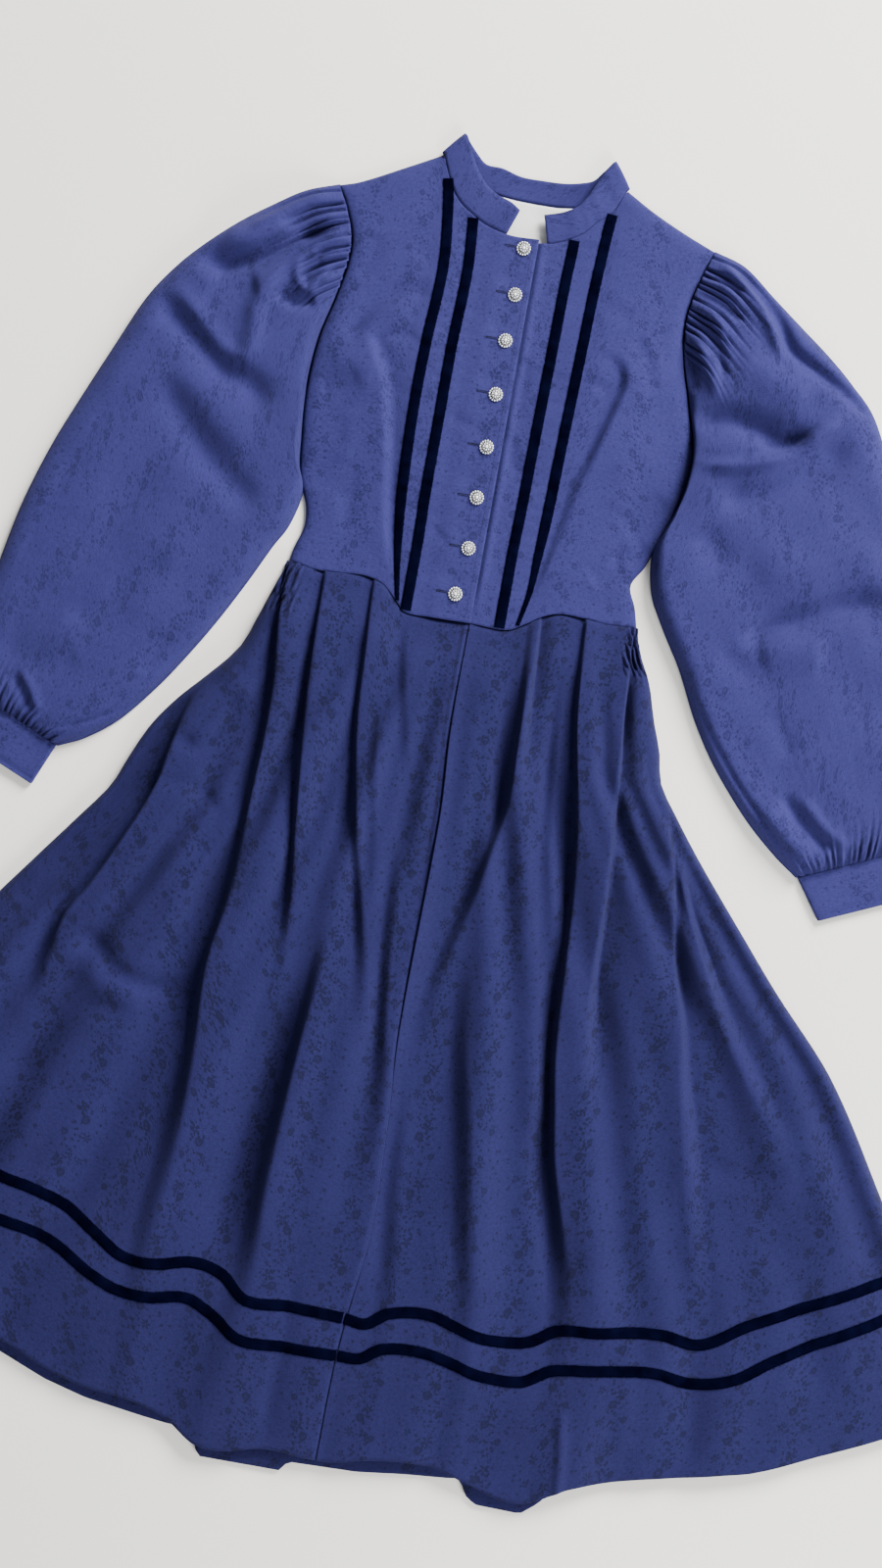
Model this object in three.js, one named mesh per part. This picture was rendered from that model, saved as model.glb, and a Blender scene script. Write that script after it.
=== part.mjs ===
// A dirndl with a stand collar, full sleeves, a buttoned bodice and a pleated skirt, laid out flat.
//
// Millimetres. The origin is at the waist, at the centre front, on the surface that the dress lies on.
// +Y runs up the centre front, +X to the wearer's left, +Z up off the surface. The back panels lie
// flat on Z = 0, and the fronts and the upper half of each sleeve lie on them.
import * as THREE from "three";

// --- driving dimensions -------------------------------------------------------------------------
const CLOTH = 1.6; // wool cloth with its turnings, as a wall
const LINING = 1.0;
const VELVET = 1.2;
const GAP = 0.3; // between pieces at a seam, and under what lies on a panel
const WAIST_GAP = 0.9; // at the waist seam, whose two edges bend between different columns of mesh
const REST = CLOTH + GAP; // underside of cloth that lies on a back panel
const LAP = 24; // how far the left front runs under the button band
const BAND_EDGE = 1; // edge of the button band, past the centre line
const BODICE_RISE = 4; // the fronts stand this far off the back
const BUST_RISE = 7;
const BUST_REACH = 85;
const BUST_STRETCH = 1.3; // its height over its width
const EDGE_ROLL = 16; // width over which a folded side edge rounds down
const WAIST_RISE = 3.5;
const BODICE_EASE = 50; // the fronts rise to their full height over this distance above the waist
const SKIRT_RISE = 10;
const SKIRT_EASE = 220; // and the skirt over this distance below it
const HEM_EASE = 120; // above the hem the skirt settles to HEM_SHARE of its height
const HEM_SHARE = 0.55;
const RIBBON = 10; // width of the velvet ribbon
const CUFF_THICKNESS = 6.4; // both layers of a cuff with the slit between them
const BUTTON_RADIUS = 7;
const BUTTON_HEIGHT = 5.2;
const BUTTON_SIDES = 14;

const BODICE_ROWS = 16; // rows of mesh from waist to shoulder
const UNDERARM_ROW = 7; // row of the bodice side where the armhole ends
const CAP_SPLITS = 4; // columns of mesh for two gathers in the top of the armhole
const CAP_ROW = 11; // row of the armhole above which the sleeve is gathered
const SKIRT_COLUMNS = 30;
const SKIRT_ROWS = 13; // rows from the waist to the upper ribbon

// --- tables -------------------------------------------------------------------------------------
// Each row of numbers under its column names.
const table = (names, data) =>
  data.map((line) => Object.fromEntries(names.split(" ").map((name, i) => [name, line[i]])));

// Side edges of the bodice, from the waist up to the shoulder.
const BODICE_SIDES = table("y right left", [
  [26, -184, 162],
  [45, -181, 157],
  [66, -175, 149],
  [87, -177, 160],
  [115, -188, 169],
  [150, -193, 181],
  [200, -197, 187],
  [250, -194, 174],
  [290, -185, 162],
  [325, -179, 157],
  [350, -179, 159],
  [375, -187, 165],
  [401, -200, 173],
]);

// The waist seam across the front, which dips to a level stretch at the centre.
const WAIST = table("x y", [
  [-184, 31],
  [-150, 27],
  [-110, 30],
  [-90, 25],
  [-76, 13],
  [-64, 2],
  [-40, 1],
  [0, 2],
  [38, 2],
  [55, 11],
  [72, 22],
  [90, 27],
  [130, 25],
  [162, 26],
]);

// Shoulder seams and front neckline of each side, from the armhole to the centre front.
const RIGHT_SHOULDER = table("x y", [
  [-200, 401],
  [-180, 408],
  [-140, 429],
  [-105, 448],
]);
const RIGHT_NECK = table("x y", [
  [-105, 448],
  [-93, 420],
  [-82, 405],
  [-68, 395],
  [-53, 387],
  [-31, 381],
  [1, 381],
]);
const LEFT_SHOULDER = table("x y", [
  [78, 445],
  [107, 429],
  [140, 414],
  [173, 401],
]);
const LEFT_NECK = table("x y", [
  [-24, 378],
  [10, 379],
  [27, 385],
  [43, 395],
  [53, 407],
  [67, 420],
  [78, 445],
]);

// Centre lines of the bodice ribbons. The outer ones narrow to the waist, where a dart laps them.
const BODICE_RIBBONS = table("y rightOuter rightInner leftInner leftOuter width", [
  [2, -71, -63, 30, 46, 0.3],
  [40, -78, -63, 30, 53, 0.5],
  [75, -83, -63, 30, 55, 0.8],
  [117, -87, -64, 31, 57, 1],
  [200, -90, -64, 32, 59, 1],
  [267, -89, -64, 33, 61, 1],
  [340, -86, -62, 34, 63, 1],
  [400, -92, -66, 36, 66, 1],
  [433, -98, -66, 36, 69, 1],
]);

// Top edge of the collar: each front from its corner to the fold at the shoulder, and the back.
const COLLAR_RIGHT = [
  [-22, 406],
  [-33, 413],
  [-47, 418],
  [-60, 427],
  [-73, 445],
  [-80, 460],
  [-85, 469],
];
const COLLAR_LEFT = [
  [2, 406],
  [20, 412],
  [33, 420],
  [40, 430],
  [47, 445],
  [52, 457],
  [59, 468],
];
const COLLAR_BACK = table("seamX seamY topX topY", [
  [-104, 447, -85, 469],
  [-88, 438, -72, 455],
  [-70, 428, -62, 447],
  [-50, 420, -46, 446],
  [-28, 418, -26, 441],
  [-7, 417.5, -3, 441],
  [14, 418, 16, 442],
  [34, 421, 31, 445],
  [52, 430, 44, 450],
  [66, 438, 52, 460],
  [77, 444, 59, 468],
]);

// Side edges of the skirt, from the hem corner up to the waist.
const SKIRT_SIDES = table("y right left", [
  [-672, -613, 613],
  [-560, -545, 545],
  [-485, -499, 499],
  [-375, -432, 428],
  [-300, -378, 359],
  [-250, -341, 316],
  [-215, -316, 286],
  [-185, -304, 261],
  [-150, -288, 234],
  [-120, -267, 213],
  [-90, -240, 206],
  [-60, -216, 195],
  [-25, -203, 184],
  [5, -193, 169],
  [31, -184, 162],
]);

// Front hem, both ribbons above it, and the hem of the back where it reaches below the front.
const SKIRT_LEVELS = table("x upper lower hem", [
  [-613, -518, -553, -672],
  [-533, -545, -580, -700],
  [-450, -574, -609, -730],
  [-354, -606, -646, -758],
  [-315, -615, -655, -770],
  [-283, -627, -667, -784],
  [-252, -646, -685, -794],
  [-222, -664, -697, -799],
  [-190, -665, -698, -802],
  [-155, -658, -693, -813],
  [-125, -664, -706, -832],
  [-98, -683, -722, -835],
  [-55, -683, -723, -826],
  [0, -685, -722, -828],
  [22, -687, -721, -825],
  [42, -673, -708, -819],
  [80, -667, -704, -814],
  [112, -675, -710, -815],
  [142, -681, -717, -823],
  [180, -677, -716, -834],
  [208, -660, -700, -832],
  [243, -655, -693, -812],
  [306, -646, -684, -792],
  [345, -650, -689, -783],
  [385, -625, -676, -773],
  [420, -606, -651, -764],
  [510, -559, -598, -723],
  [560, -534, -570, -698],
  [613, -505, -543, -672],
]);
const BACK_HEM = table("x y", [
  [-612, -671],
  [-450, -727],
  [-326, -779],
  [-278, -798],
  [-236, -809],
  [-178, -817],
  [-125, -823],
  [-122, -838],
  [-116, -846],
  [-36, -846],
  [-29, -836],
  [38, -834],
  [85, -828],
  [141, -823],
  [145, -836],
  [158, -845],
  [203, -846],
  [219, -833],
  [233, -816],
  [306, -789],
  [420, -761],
  [612, -671],
]);

// Where the two front skirt panels meet.
const CENTRE_SEAM = table("y x", [
  [-830, -2],
  [-720, 0],
  [-600, 11],
  [-500, 9],
  [-400, 4],
  [-190, 6],
  [-100, 1],
  [5, 1],
]);

// Folds. Each runs from x0,y0 through xm,ym to x1,y1, its half width goes from wide0 to wide1 and
// its height from rise0 to rise1. A rise under zero is a trough.
const FOLD = "x0 y0 xm ym x1 y1 wide0 wide1 rise0 rise1";
const BODICE_FOLDS = table(FOLD, [
  [-125, 262, -126, 200, -106, 100, 10, 5, 3, 1],
  [-173, 262, -150, 300, -93, 318, 9, 9, -2, -1],
  [-96, 230, -98, 150, -88, 60, 6, 4, -2.5, -1.5],
  [110, 262, 96, 205, 80, 140, 9, 6, 3, 1],
  [140, 95, 130, 75, 110, 60, 10, 8, -2, -1],
  [72, 200, 74, 120, 62, 50, 6, 4, -2, -1.5],
]);
const SKIRT_RIGHT_FOLDS = table(FOLD, [
  [-179, 20, -180, -200, -217, -627, 6, 13, -3.5, -6],
  [-163, 20, -157, -190, -176, -600, 6, 14, 2, 6],
  [-146, 20, -137, -160, -135, -360, 5, 10, -3, -4],
  [-118, 20, -108, -160, -92, -330, 6, 14, 2, 4],
  [-94, 9, -83, -150, -41, -369, 5, 12, -3.5, -4],
  [-62, -1, -44, -90, 1, -164, 5, 8, -3, -1],
  [-23, -233, -22, -310, -9, -401, 7, 8, -3, -2],
  [-94, -380, -98, -500, -128, -826, 10, 14, -2, -7],
  [-60, -420, -62, -600, -72, -828, 14, 22, 2, 5],
  [-150, -420, -165, -600, -180, -800, 16, 24, 2, 5],
  [-249, -117, -290, -245, -372, -410, 8, 16, -5, -4],
  [-222, -100, -246, -230, -290, -520, 10, 26, 3, 4],
  [-315, -359, -283, -385, -236, -396, 11, 14, -4, -1],
  [-352, -512, -315, -454, -267, -427, 16, 12, -3, -1],
]);
const SKIRT_LEFT_FOLDS = table(FOLD, [
  [67, 9, 71, -130, 48, -264, 5, 9, -3.5, -2],
  [92, 16, 100, -160, 112, -380, 6, 16, 2, 5],
  [117, 20, 153, -320, 214, -648, 5, 12, -4, -9],
  [138, 16, 166, -200, 200, -500, 5, 12, 3, 5],
  [156, -6, 172, -164, 188, -340, 5, 8, -4, -4],
  [225, -159, 275, -359, 345, -600, 7, 15, -5, -4],
  [200, -120, 238, -330, 290, -600, 9, 20, 3, 6],
  [259, -233, 327, -306, 390, -401, 9, 13, -4, -2],
  [59, -348, 80, -480, 126, -815, 9, 14, -3, -5],
  [30, -300, 34, -480, 60, -700, 12, 20, 3, 4],
  [22, -540, 30, -640, 36, -815, 8, 12, -2, -5],
  [190, -640, 205, -730, 224, -826, 12, 14, -5, -6],
  [160, -600, 168, -700, 178, -834, 16, 22, 4, 6],
]);
const SLEEVE_RIGHT_FOLDS = table(FOLD, [
  [-187, 366, -225, 342, -257, 310, 8, 12, 3, 4],
  [-203, 339, -247, 314, -287, 293, 7, 12, -6, -3],
  [-184, 320, -206, 306, -216, 282, 7, 8, 3, 3],
  [-349, 268, -287, 205, -214, 168, 14, 12, -6, -4],
  [-324, 168, -270, 112, -232, 68, 16, 12, -4, -3],
  [-312, 10, -345, -27, -376, -66, 10, 8, -4, -3],
]);
const SLEEVE_LEFT_FOLDS = table(FOLD, [
  [182, 381, 222, 340, 260, 290, 7, 10, -6, -4],
  [200, 388, 250, 345, 300, 290, 9, 16, 3, 4],
  [187, 247, 245, 226, 316, 256, 8, 10, -6, -4],
  [200, 205, 262, 207, 337, 250, 12, 12, 3, 4],
  [216, 172, 260, 176, 307, 189, 9, 12, -5, -3],
  [274, 35, 325, 74, 378, 106, 12, 14, -5, -3],
]);

// Sleeves: the outer edge beside the bodice, then both edges from where they part down to the cuff.
const CAP_RIGHT = table("outerX outerY", [
  [-200, 400],
  [-232, 389],
  [-262, 369],
  [-291, 347],
  [-320, 320],
]);
const ARM_RIGHT = table("innerX innerY outerX outerY", [
  [-190, 67, -343, 294],
  [-203, 42, -366, 259],
  [-222, 2, -389, 206],
  [-244, -40, -412, 151],
  [-266, -77, -432, 100],
  [-290, -113, -450, 40],
  [-320, -150, -462, -20],
  [-350, -174, -474, -85],
  [-376, -187, -477, -144],
]);
const CAP_LEFT = table("outerX outerY", [
  [174, 400],
  [205, 391],
  [237, 367],
  [269, 343],
  [300, 320],
]);
const ARM_LEFT = table("innerX innerY outerX outerY", [
  [171, 64, 328, 296],
  [187, 33, 356, 266],
  [212, -7, 385, 206],
  [234, -50, 408, 151],
  [256, -85, 428, 100],
  [280, -115, 446, 40],
  [307, -144, 458, -20],
  [336, -169, 468, -80],
  [360, -186, 460, -141],
]);
// How high the sleeve stands, from the armhole (0) to the cuff (1), and how deep its gathers are.
const SLEEVE_RISE = table("at rise gather", [
  [0, 3, 1.6],
  [0.07, 11, 1.8],
  [0.2, 19, 0.9],
  [0.33, 19, 0],
  [0.6, 15, 0],
  [0.85, 11, 0.4],
  [0.94, 8, 0.9],
  [1, 3, 0.9],
]);
// A cuff's far edge, from its seam.
const CUFF_RIGHT = { acrossX: -17, acrossY: -41 };
const CUFF_LEFT = { acrossX: 27, acrossY: -38 };

// Buttons down the band, and the profile of one: share of its radius, share of its height.
const BUTTONS = table("x y", [
  [-12, 370],
  [-12.3, 324],
  [-13.7, 278],
  [-13.7, 225],
  [-13.3, 173],
  [-14, 123],
  [-13.3, 73],
  [-18, 27],
]);
const BUTTON_PROFILE = table("radius height", [
  [0, 0],
  [0.86, 0],
  [1, 0.24],
  [0.9, 0.46],
  [0.62, 0.8],
  [0, 1],
]);

// --- reading the tables -------------------------------------------------------------------------
const lerp = THREE.MathUtils.lerp;
const clamp = THREE.MathUtils.clamp;
const smoothstep = THREE.MathUtils.smoothstep;

// The value of a column between the rows of a table, on a smooth curve through them.
function read(rows, key, column, at) {
  const last = rows.length - 1;
  let i = 0;
  while (i < last - 1 && rows[i + 1][key] < at) i += 1;
  const slope = (n) => {
    const a = rows[Math.max(n - 1, 0)];
    const b = rows[Math.min(n + 1, last)];
    return (b[column] - a[column]) / (b[key] - a[key]);
  };
  const span = rows[i + 1][key] - rows[i][key];
  const t = clamp((at - rows[i][key]) / span, 0, 1);
  return (
    rows[i][column] * (1 + 2 * t) * (1 - t) ** 2 +
    slope(i) * span * t * (1 - t) ** 2 +
    rows[i + 1][column] * t * t * (3 - 2 * t) +
    slope(i + 1) * span * t * t * (t - 1)
  );
}

// A quarter round: 0 at an edge, 1 once `width` away from it.
function roll(distance, width) {
  const left = 1 - clamp(distance / width, 0, 1);
  return Math.sqrt(1 - left * left);
}

// The sum of the folds at a point. Each fold is a soft ridge or trough along a bent line.
const FOLD_PIECES = 8;
function foldHeight(folds, x, y) {
  let sum = 0;
  for (const f of folds) {
    const on = (t) => [
      f.x0 * (1 - t) * (1 - 2 * t) + f.xm * 4 * t * (1 - t) + f.x1 * t * (2 * t - 1),
      f.y0 * (1 - t) * (1 - 2 * t) + f.ym * 4 * t * (1 - t) + f.y1 * t * (2 * t - 1),
    ];
    let nearest = Infinity;
    let where = 0;
    for (let k = 0; k < FOLD_PIECES; k += 1) {
      const [ax, ay] = on(k / FOLD_PIECES);
      const [bx, by] = on((k + 1) / FOLD_PIECES);
      const along = ((x - ax) * (bx - ax) + (y - ay) * (by - ay)) / ((bx - ax) ** 2 + (by - ay) ** 2);
      const s = clamp(along, 0, 1);
      const d = Math.hypot(x - lerp(ax, bx, s), y - lerp(ay, by, s));
      if (d < nearest) {
        nearest = d;
        where = (k + s) / FOLD_PIECES;
      }
    }
    const wide = lerp(f.wide0, f.wide1, where);
    sum += lerp(f.rise0, f.rise1, where) * Math.exp(-((nearest / wide) ** 2));
  }
  return sum;
}

// --- meshes -------------------------------------------------------------------------------------
// A closed wall between two grids of points of the same size, grid[row][column] = [x, y, z].
function wall(outer, inner) {
  const rows = outer.length;
  const columns = outer[0].length;
  const positions = [...outer.flat(), ...inner.flat()].flat();
  const out = (r, c) => r * columns + c;
  const within = (r, c) => rows * columns + out(r, c);
  const index = [];
  const quad = (a, b, c, d) => index.push(a, b, c, a, c, d);
  for (let r = 0; r + 1 < rows; r += 1) {
    for (let c = 0; c + 1 < columns; c += 1) {
      quad(out(r, c), out(r, c + 1), out(r + 1, c + 1), out(r + 1, c));
      // The same diagonal as on the outer face, seen from the other side.
      const [p, q, s, t] = [within(r, c), within(r, c + 1), within(r + 1, c + 1), within(r + 1, c)];
      index.push(p, s, q, p, t, s);
    }
  }
  for (let c = 0; c + 1 < columns; c += 1) {
    quad(out(0, c + 1), out(0, c), within(0, c), within(0, c + 1));
    quad(out(rows - 1, c), out(rows - 1, c + 1), within(rows - 1, c + 1), within(rows - 1, c));
  }
  for (let r = 0; r + 1 < rows; r += 1) {
    quad(out(r, 0), out(r + 1, 0), within(r + 1, 0), within(r, 0));
    quad(out(r + 1, columns - 1), out(r, columns - 1), within(r, columns - 1), within(r + 1, columns - 1));
  }
  return facingOut(positions, index);
}

// A geometry whose faces point out, whichever way round its grid was given.
function facingOut(positions, index) {
  let volume = 0;
  const corner = (i) => new THREE.Vector3().fromArray(positions, 3 * i);
  for (let i = 0; i < index.length; i += 3) {
    volume += corner(index[i]).dot(corner(index[i + 1]).cross(corner(index[i + 2])));
  }
  if (volume < 0) index.reverse();
  const geometry = new THREE.BufferGeometry();
  geometry.setAttribute("position", new THREE.Float32BufferAttribute(positions, 3));
  geometry.setIndex(index);
  geometry.computeVertexNormals();
  return geometry;
}

const raised = (grid, by) => grid.map((row) => row.map(([x, y, z]) => [x, y, z + by]));

// Cloth over a grid of points on its underside.
const cloth = (grid, thickness = CLOTH) => wall(raised(grid, thickness), grid);

// A strip that lies on a panel: the panel's own points, moved out past the gap.
function lying(panel, rows, columns, thickness) {
  const part = rows.map((r) => columns.map((c) => panel[r][c]));
  return cloth(raised(part, CLOTH + GAP), thickness);
}

// Cloth that lies flat on the surface, inside an outline.
function flat(outline, thickness, height = 0) {
  const shape = new THREE.Shape(outline.map(([x, y]) => new THREE.Vector2(x, y)));
  const geometry = new THREE.ExtrudeGeometry(shape, { depth: thickness, bevelEnabled: false });
  return geometry.translate(0, 0, height);
}

// Points where lines x = column(y) cross lines y = row(x), lifted to height(x, y).
const CROSSING_STEPS = 24;
function panelGrid(columns, rows, height) {
  return rows.map((row) =>
    columns.map((column) => {
      let y = row(column(0));
      for (let k = 0; k < CROSSING_STEPS; k += 1) y = row(column(y));
      const x = column(y);
      return [x, y, height(x, y)];
    }),
  );
}

const steps = (count) => Array.from({ length: count + 1 }, (_, k) => k / count);

// --- bodice -------------------------------------------------------------------------------------
const waistAt = (x) => read(WAIST, "x", "y", x);
const bodiceSide = (hand, y) => read(BODICE_SIDES, "y", hand, y);
const ribbonAt = (name, y) => read(BODICE_RIBBONS, "y", name, y);
const ribbonWidth = (name, y) => (name.endsWith("Outer") ? RIBBON * ribbonAt("width", y) : RIBBON);
const topOf = {
  right: (x) =>
    x < RIGHT_NECK[0].x ? read(RIGHT_SHOULDER, "x", "y", x) : read(RIGHT_NECK, "x", "y", x),
  left: (x) =>
    x > LEFT_SHOULDER[0].x ? read(LEFT_SHOULDER, "x", "y", x) : read(LEFT_NECK, "x", "y", x),
};
const BUSTS = [
  [-112, 245],
  [92, 245],
];

// Underside of a front, before the button band laps over the other one.
function bodiceHeight(hand, x, y) {
  const fromSide = Math.abs(x - bodiceSide(hand, y));
  const onShoulder = hand === "right" ? x < RIGHT_NECK[0].x : x > LEFT_SHOULDER[0].x;
  const fromTop = onShoulder ? topOf[hand](x) - y : EDGE_ROLL;
  const edge = roll(fromSide, EDGE_ROLL) * roll(fromTop, EDGE_ROLL);
  const up = smoothstep(y - waistAt(x), 0, BODICE_EASE);
  const bust = BUSTS.reduce(
    (sum, [bustX, bustY]) =>
      sum + Math.exp(-((x - bustX) ** 2 + ((y - bustY) / BUST_STRETCH) ** 2) / BUST_REACH ** 2),
    0,
  );
  const rise = lerp(WAIST_RISE, BODICE_RISE + BUST_RISE * bust, up);
  return REST + Math.max(0, edge * (rise + up * foldHeight(BODICE_FOLDS, x, y)));
}

// The band rises by one layer of cloth where it lies over the left front.
const BAND_FOLD = [-52, -31];
const bandLift = (x) => (CLOTH + 2 * GAP) * smoothstep(x, ...BAND_FOLD);

// Both fronts have the same order of columns: the centre edge, the collar's end, the edges of both
// ribbons, the neck point, and on to the side.
const NECK_END = 2;
const INNER_RIBBON = [3, 4];
const OUTER_RIBBON = [6, 7];
const NECK_POINT = 8;
const SIDE_STEPS = 6;
const BESIDE_RIBBON = 2.5; // from the outer ribbon to the line through the neck point
function bodiceColumns(hand, centre, collarEnd) {
  const away = hand === "right" ? -1 : 1;
  const edge = (name, side) => (y) => ribbonAt(name, y) + (away * side * ribbonWidth(name, y)) / 2;
  const inner = `${hand}Inner`;
  const outer = `${hand}Outer`;
  const between = (y) => (ribbonAt(inner, y) + away * (RIBBON / 2) + edge(outer, -1)(y)) / 2;
  const neckPoint = (y) => edge(outer, 1)(y) + away * BESIDE_RIBBON;
  const toSide = steps(SIDE_STEPS)
    .slice(1)
    .map((t) => (y) => lerp(neckPoint(y), bodiceSide(hand, y), t));
  return [
    () => centre,
    () => (centre + collarEnd) / 2,
    () => collarEnd,
    edge(inner, -1),
    edge(inner, 1),
    between,
    edge(outer, -1),
    edge(outer, 1),
    neckPoint,
    ...toSide,
  ];
}

const bodiceRows = (hand) =>
  steps(BODICE_ROWS).map((t) => (x) => lerp(waistAt(x), topOf[hand](x), t));

const bodiceRight = panelGrid(
  bodiceColumns("right", BAND_EDGE, RIGHT_NECK.at(-2).x),
  bodiceRows("right"),
  (x, y) => bodiceHeight("right", x, y) + bandLift(x),
);
const bodiceLeft = panelGrid(
  bodiceColumns("left", -LAP, LEFT_NECK[1].x),
  bodiceRows("left"),
  (x, y) => bodiceHeight("left", x, y),
);

const sideColumn = (grid) => grid.map((row) => row.at(-1));

// The shoulder seam from the neck to the armhole. It starts just short of the collar's fold.
const FOLD_ROOM = 0.25;
function shoulderSeam(grid) {
  const [neck, next, ...rest] = grid.at(-1).slice(NECK_POINT);
  return [neck.map((value, n) => lerp(value, next[n], FOLD_ROOM)), next, ...rest];
}

// The back, cut to the outline of the fronts and to its own neckline.
const backNeck = COLLAR_BACK.slice(1, -1).map((s) => [s.seamX, s.seamY - GAP]);
const bodiceBackOutline = [
  ...sideColumn(bodiceRight),
  ...shoulderSeam(bodiceRight).reverse().slice(1),
  ...backNeck,
  ...shoulderSeam(bodiceLeft).slice(0, -1),
  ...sideColumn(bodiceLeft).reverse(),
];

// The lining shows inside the neck, and ends under the fronts.
const LINING_RIGHT = -58;
const LINING_LEFT = 38;
const LINING_BOTTOM = 336;
const LINING_SHOULDER = 410;
const LINING_INSET = 1; // from the neck seam
const liningOutline = [
  [LINING_RIGHT, LINING_BOTTOM],
  [LINING_RIGHT, LINING_SHOULDER],
  ...backNeck
    .filter(([x]) => x > LINING_RIGHT && x < LINING_LEFT)
    .map(([x, y]) => [x, y - LINING_INSET]),
  [LINING_LEFT, LINING_SHOULDER],
  [LINING_LEFT, LINING_BOTTOM],
];

// --- collar -------------------------------------------------------------------------------------
// A point at a share of the length of a line of points.
function alongLine(points, share) {
  const lengths = points.slice(1).map(([x, y], i) => Math.hypot(x - points[i][0], y - points[i][1]));
  let rest = share * lengths.reduce((a, b) => a + b, 0);
  let i = 0;
  while (i < lengths.length - 1 && rest > lengths[i]) {
    rest -= lengths[i];
    i += 1;
  }
  const t = rest / lengths[i];
  return [0, 1].map((n) => lerp(points[i][n], points[i + 1][n], t));
}

const COLLAR_STAND = 2.2; // the top edge of the collar fronts stands above their seam
const COLLAR_FLOOR = CLOTH / 2; // middle of the back band, which lies on the surface
const FOLD_TURNS = 4;
const FOLD_OUTWARD = { right: [-0.72, 0.69], left: [0.72, 0.69] }; // away from the neck, at each fold

// Sections of a collar front, each [seam point, top point], from its corner to the shoulder fold.
function collarFront(grid, topEdge) {
  const seam = grid.at(-1).slice(NECK_END, NECK_POINT + 1);
  return seam.map(([x, y, z], i) => {
    const share = i / (seam.length - 1);
    const [topX, topY] = alongLine(topEdge, share);
    const reach = Math.hypot(topX - x, topY - y);
    const off = (2 * GAP) / reach;
    const middle = z + CLOTH / 2;
    return [
      [lerp(x, topX, off), lerp(y, topY, off), middle],
      [topX, topY, middle + COLLAR_STAND],
    ];
  });
}

// Sections that carry the band round its shoulder fold, from `upper` down to `lower`.
function collarFold(upper, lower, outward) {
  return steps(FOLD_TURNS)
    .slice(1, -1)
    .map((t) => {
      const angle = Math.PI * (0.5 - t);
      return upper.map(([x, y, z], i) => {
        const radius = (z - lower[i][2]) / 2;
        const bulge = radius * Math.cos(angle);
        return [
          lerp(x, lower[i][0], t) + outward[0] * bulge,
          lerp(y, lower[i][1], t) + outward[1] * bulge,
          lower[i][2] + radius * (1 + Math.sin(angle)),
        ];
      });
    });
}

function collarSections() {
  const right = collarFront(bodiceRight, COLLAR_RIGHT);
  const left = collarFront(bodiceLeft, COLLAR_LEFT).reverse();
  const back = COLLAR_BACK.map((s) => [
    [s.seamX, s.seamY + GAP, COLLAR_FLOOR],
    [s.topX, s.topY, COLLAR_FLOOR],
  ]);
  return [
    ...right,
    ...collarFold(right.at(-1), back[0], FOLD_OUTWARD.right),
    ...back,
    ...collarFold(left[0], back.at(-1), FOLD_OUTWARD.left).reverse(),
    ...left,
  ];
}

// A band of even thickness about a grid of points on its middle, offset along the true normals.
function band(middle, thickness) {
  const at = (r, c) => new THREE.Vector3(...middle[r][c]);
  const shift = (r, c, by) => {
    const r0 = Math.max(r - 1, 0);
    const r1 = Math.min(r + 1, middle.length - 1);
    const c0 = Math.max(c - 1, 0);
    const c1 = Math.min(c + 1, middle[0].length - 1);
    const alongBand = at(r1, c).sub(at(r0, c));
    const across = at(r, c1).sub(at(r, c0));
    return at(r, c).addScaledVector(alongBand.cross(across).normalize(), by).toArray();
  };
  const face = (by) => middle.map((row, r) => row.map((_, c) => shift(r, c, by)));
  return wall(face(thickness / 2), face(-thickness / 2));
}

const collarGrid = collarSections().map(([seam, top]) =>
  steps(2).map((t) => [0, 1, 2].map((n) => lerp(seam[n], top[n], t))),
);

// --- sleeves ------------------------------------------------------------------------------------
// Shares across a sleeve: even steps under the arm, finer ones where the cap is gathered.
const armRows = BODICE_ROWS - UNDERARM_ROW;
const plainRows = CAP_ROW - UNDERARM_ROW;
const sleeveShares = [
  ...steps(plainRows).map((t) => (t * plainRows) / armRows),
  ...steps((armRows - plainRows) * CAP_SPLITS)
    .slice(1)
    .map((t) => lerp(plainRows / armRows, 1, t)),
];

// The rings of a sleeve in plan, from the armhole to the cuff: [x, y] for each share.
const CAP_RINGS = 5; // over these rings the curve of the armhole fades out
function sleeveRings(bodice, cap, arm, shares) {
  const side = sideColumn(bodice);
  const outward = Math.sign(side[0][0]);
  const seam = side.map(([x, y]) => [x + outward * GAP, y]);
  const inner = [
    ...cap.map((_, i) => seam[UNDERARM_ROW - i]),
    ...arm.map((s) => [s.innerX, s.innerY]),
  ];
  const outer = [seam.at(-1), ...[...cap.slice(1), ...arm].map((s) => [s.outerX, s.outerY])];
  const armhole = (share) => {
    const place = UNDERARM_ROW + share * armRows;
    const low = Math.min(Math.floor(place), BODICE_ROWS - 1);
    return [0, 1].map((n) => lerp(seam[low][n], seam[low + 1][n], place - low));
  };
  return inner.map((start, i) => {
    const keep = Math.max(0, 1 - i / CAP_RINGS) ** 2;
    return shares.map((share) => {
      const curved = armhole(share);
      return [0, 1].map((n) => {
        const straight = lerp(inner[0][n], outer[0][n], share);
        return lerp(start[n], outer[i][n], share) + keep * (curved[n] - straight);
      });
    });
  });
}

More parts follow.
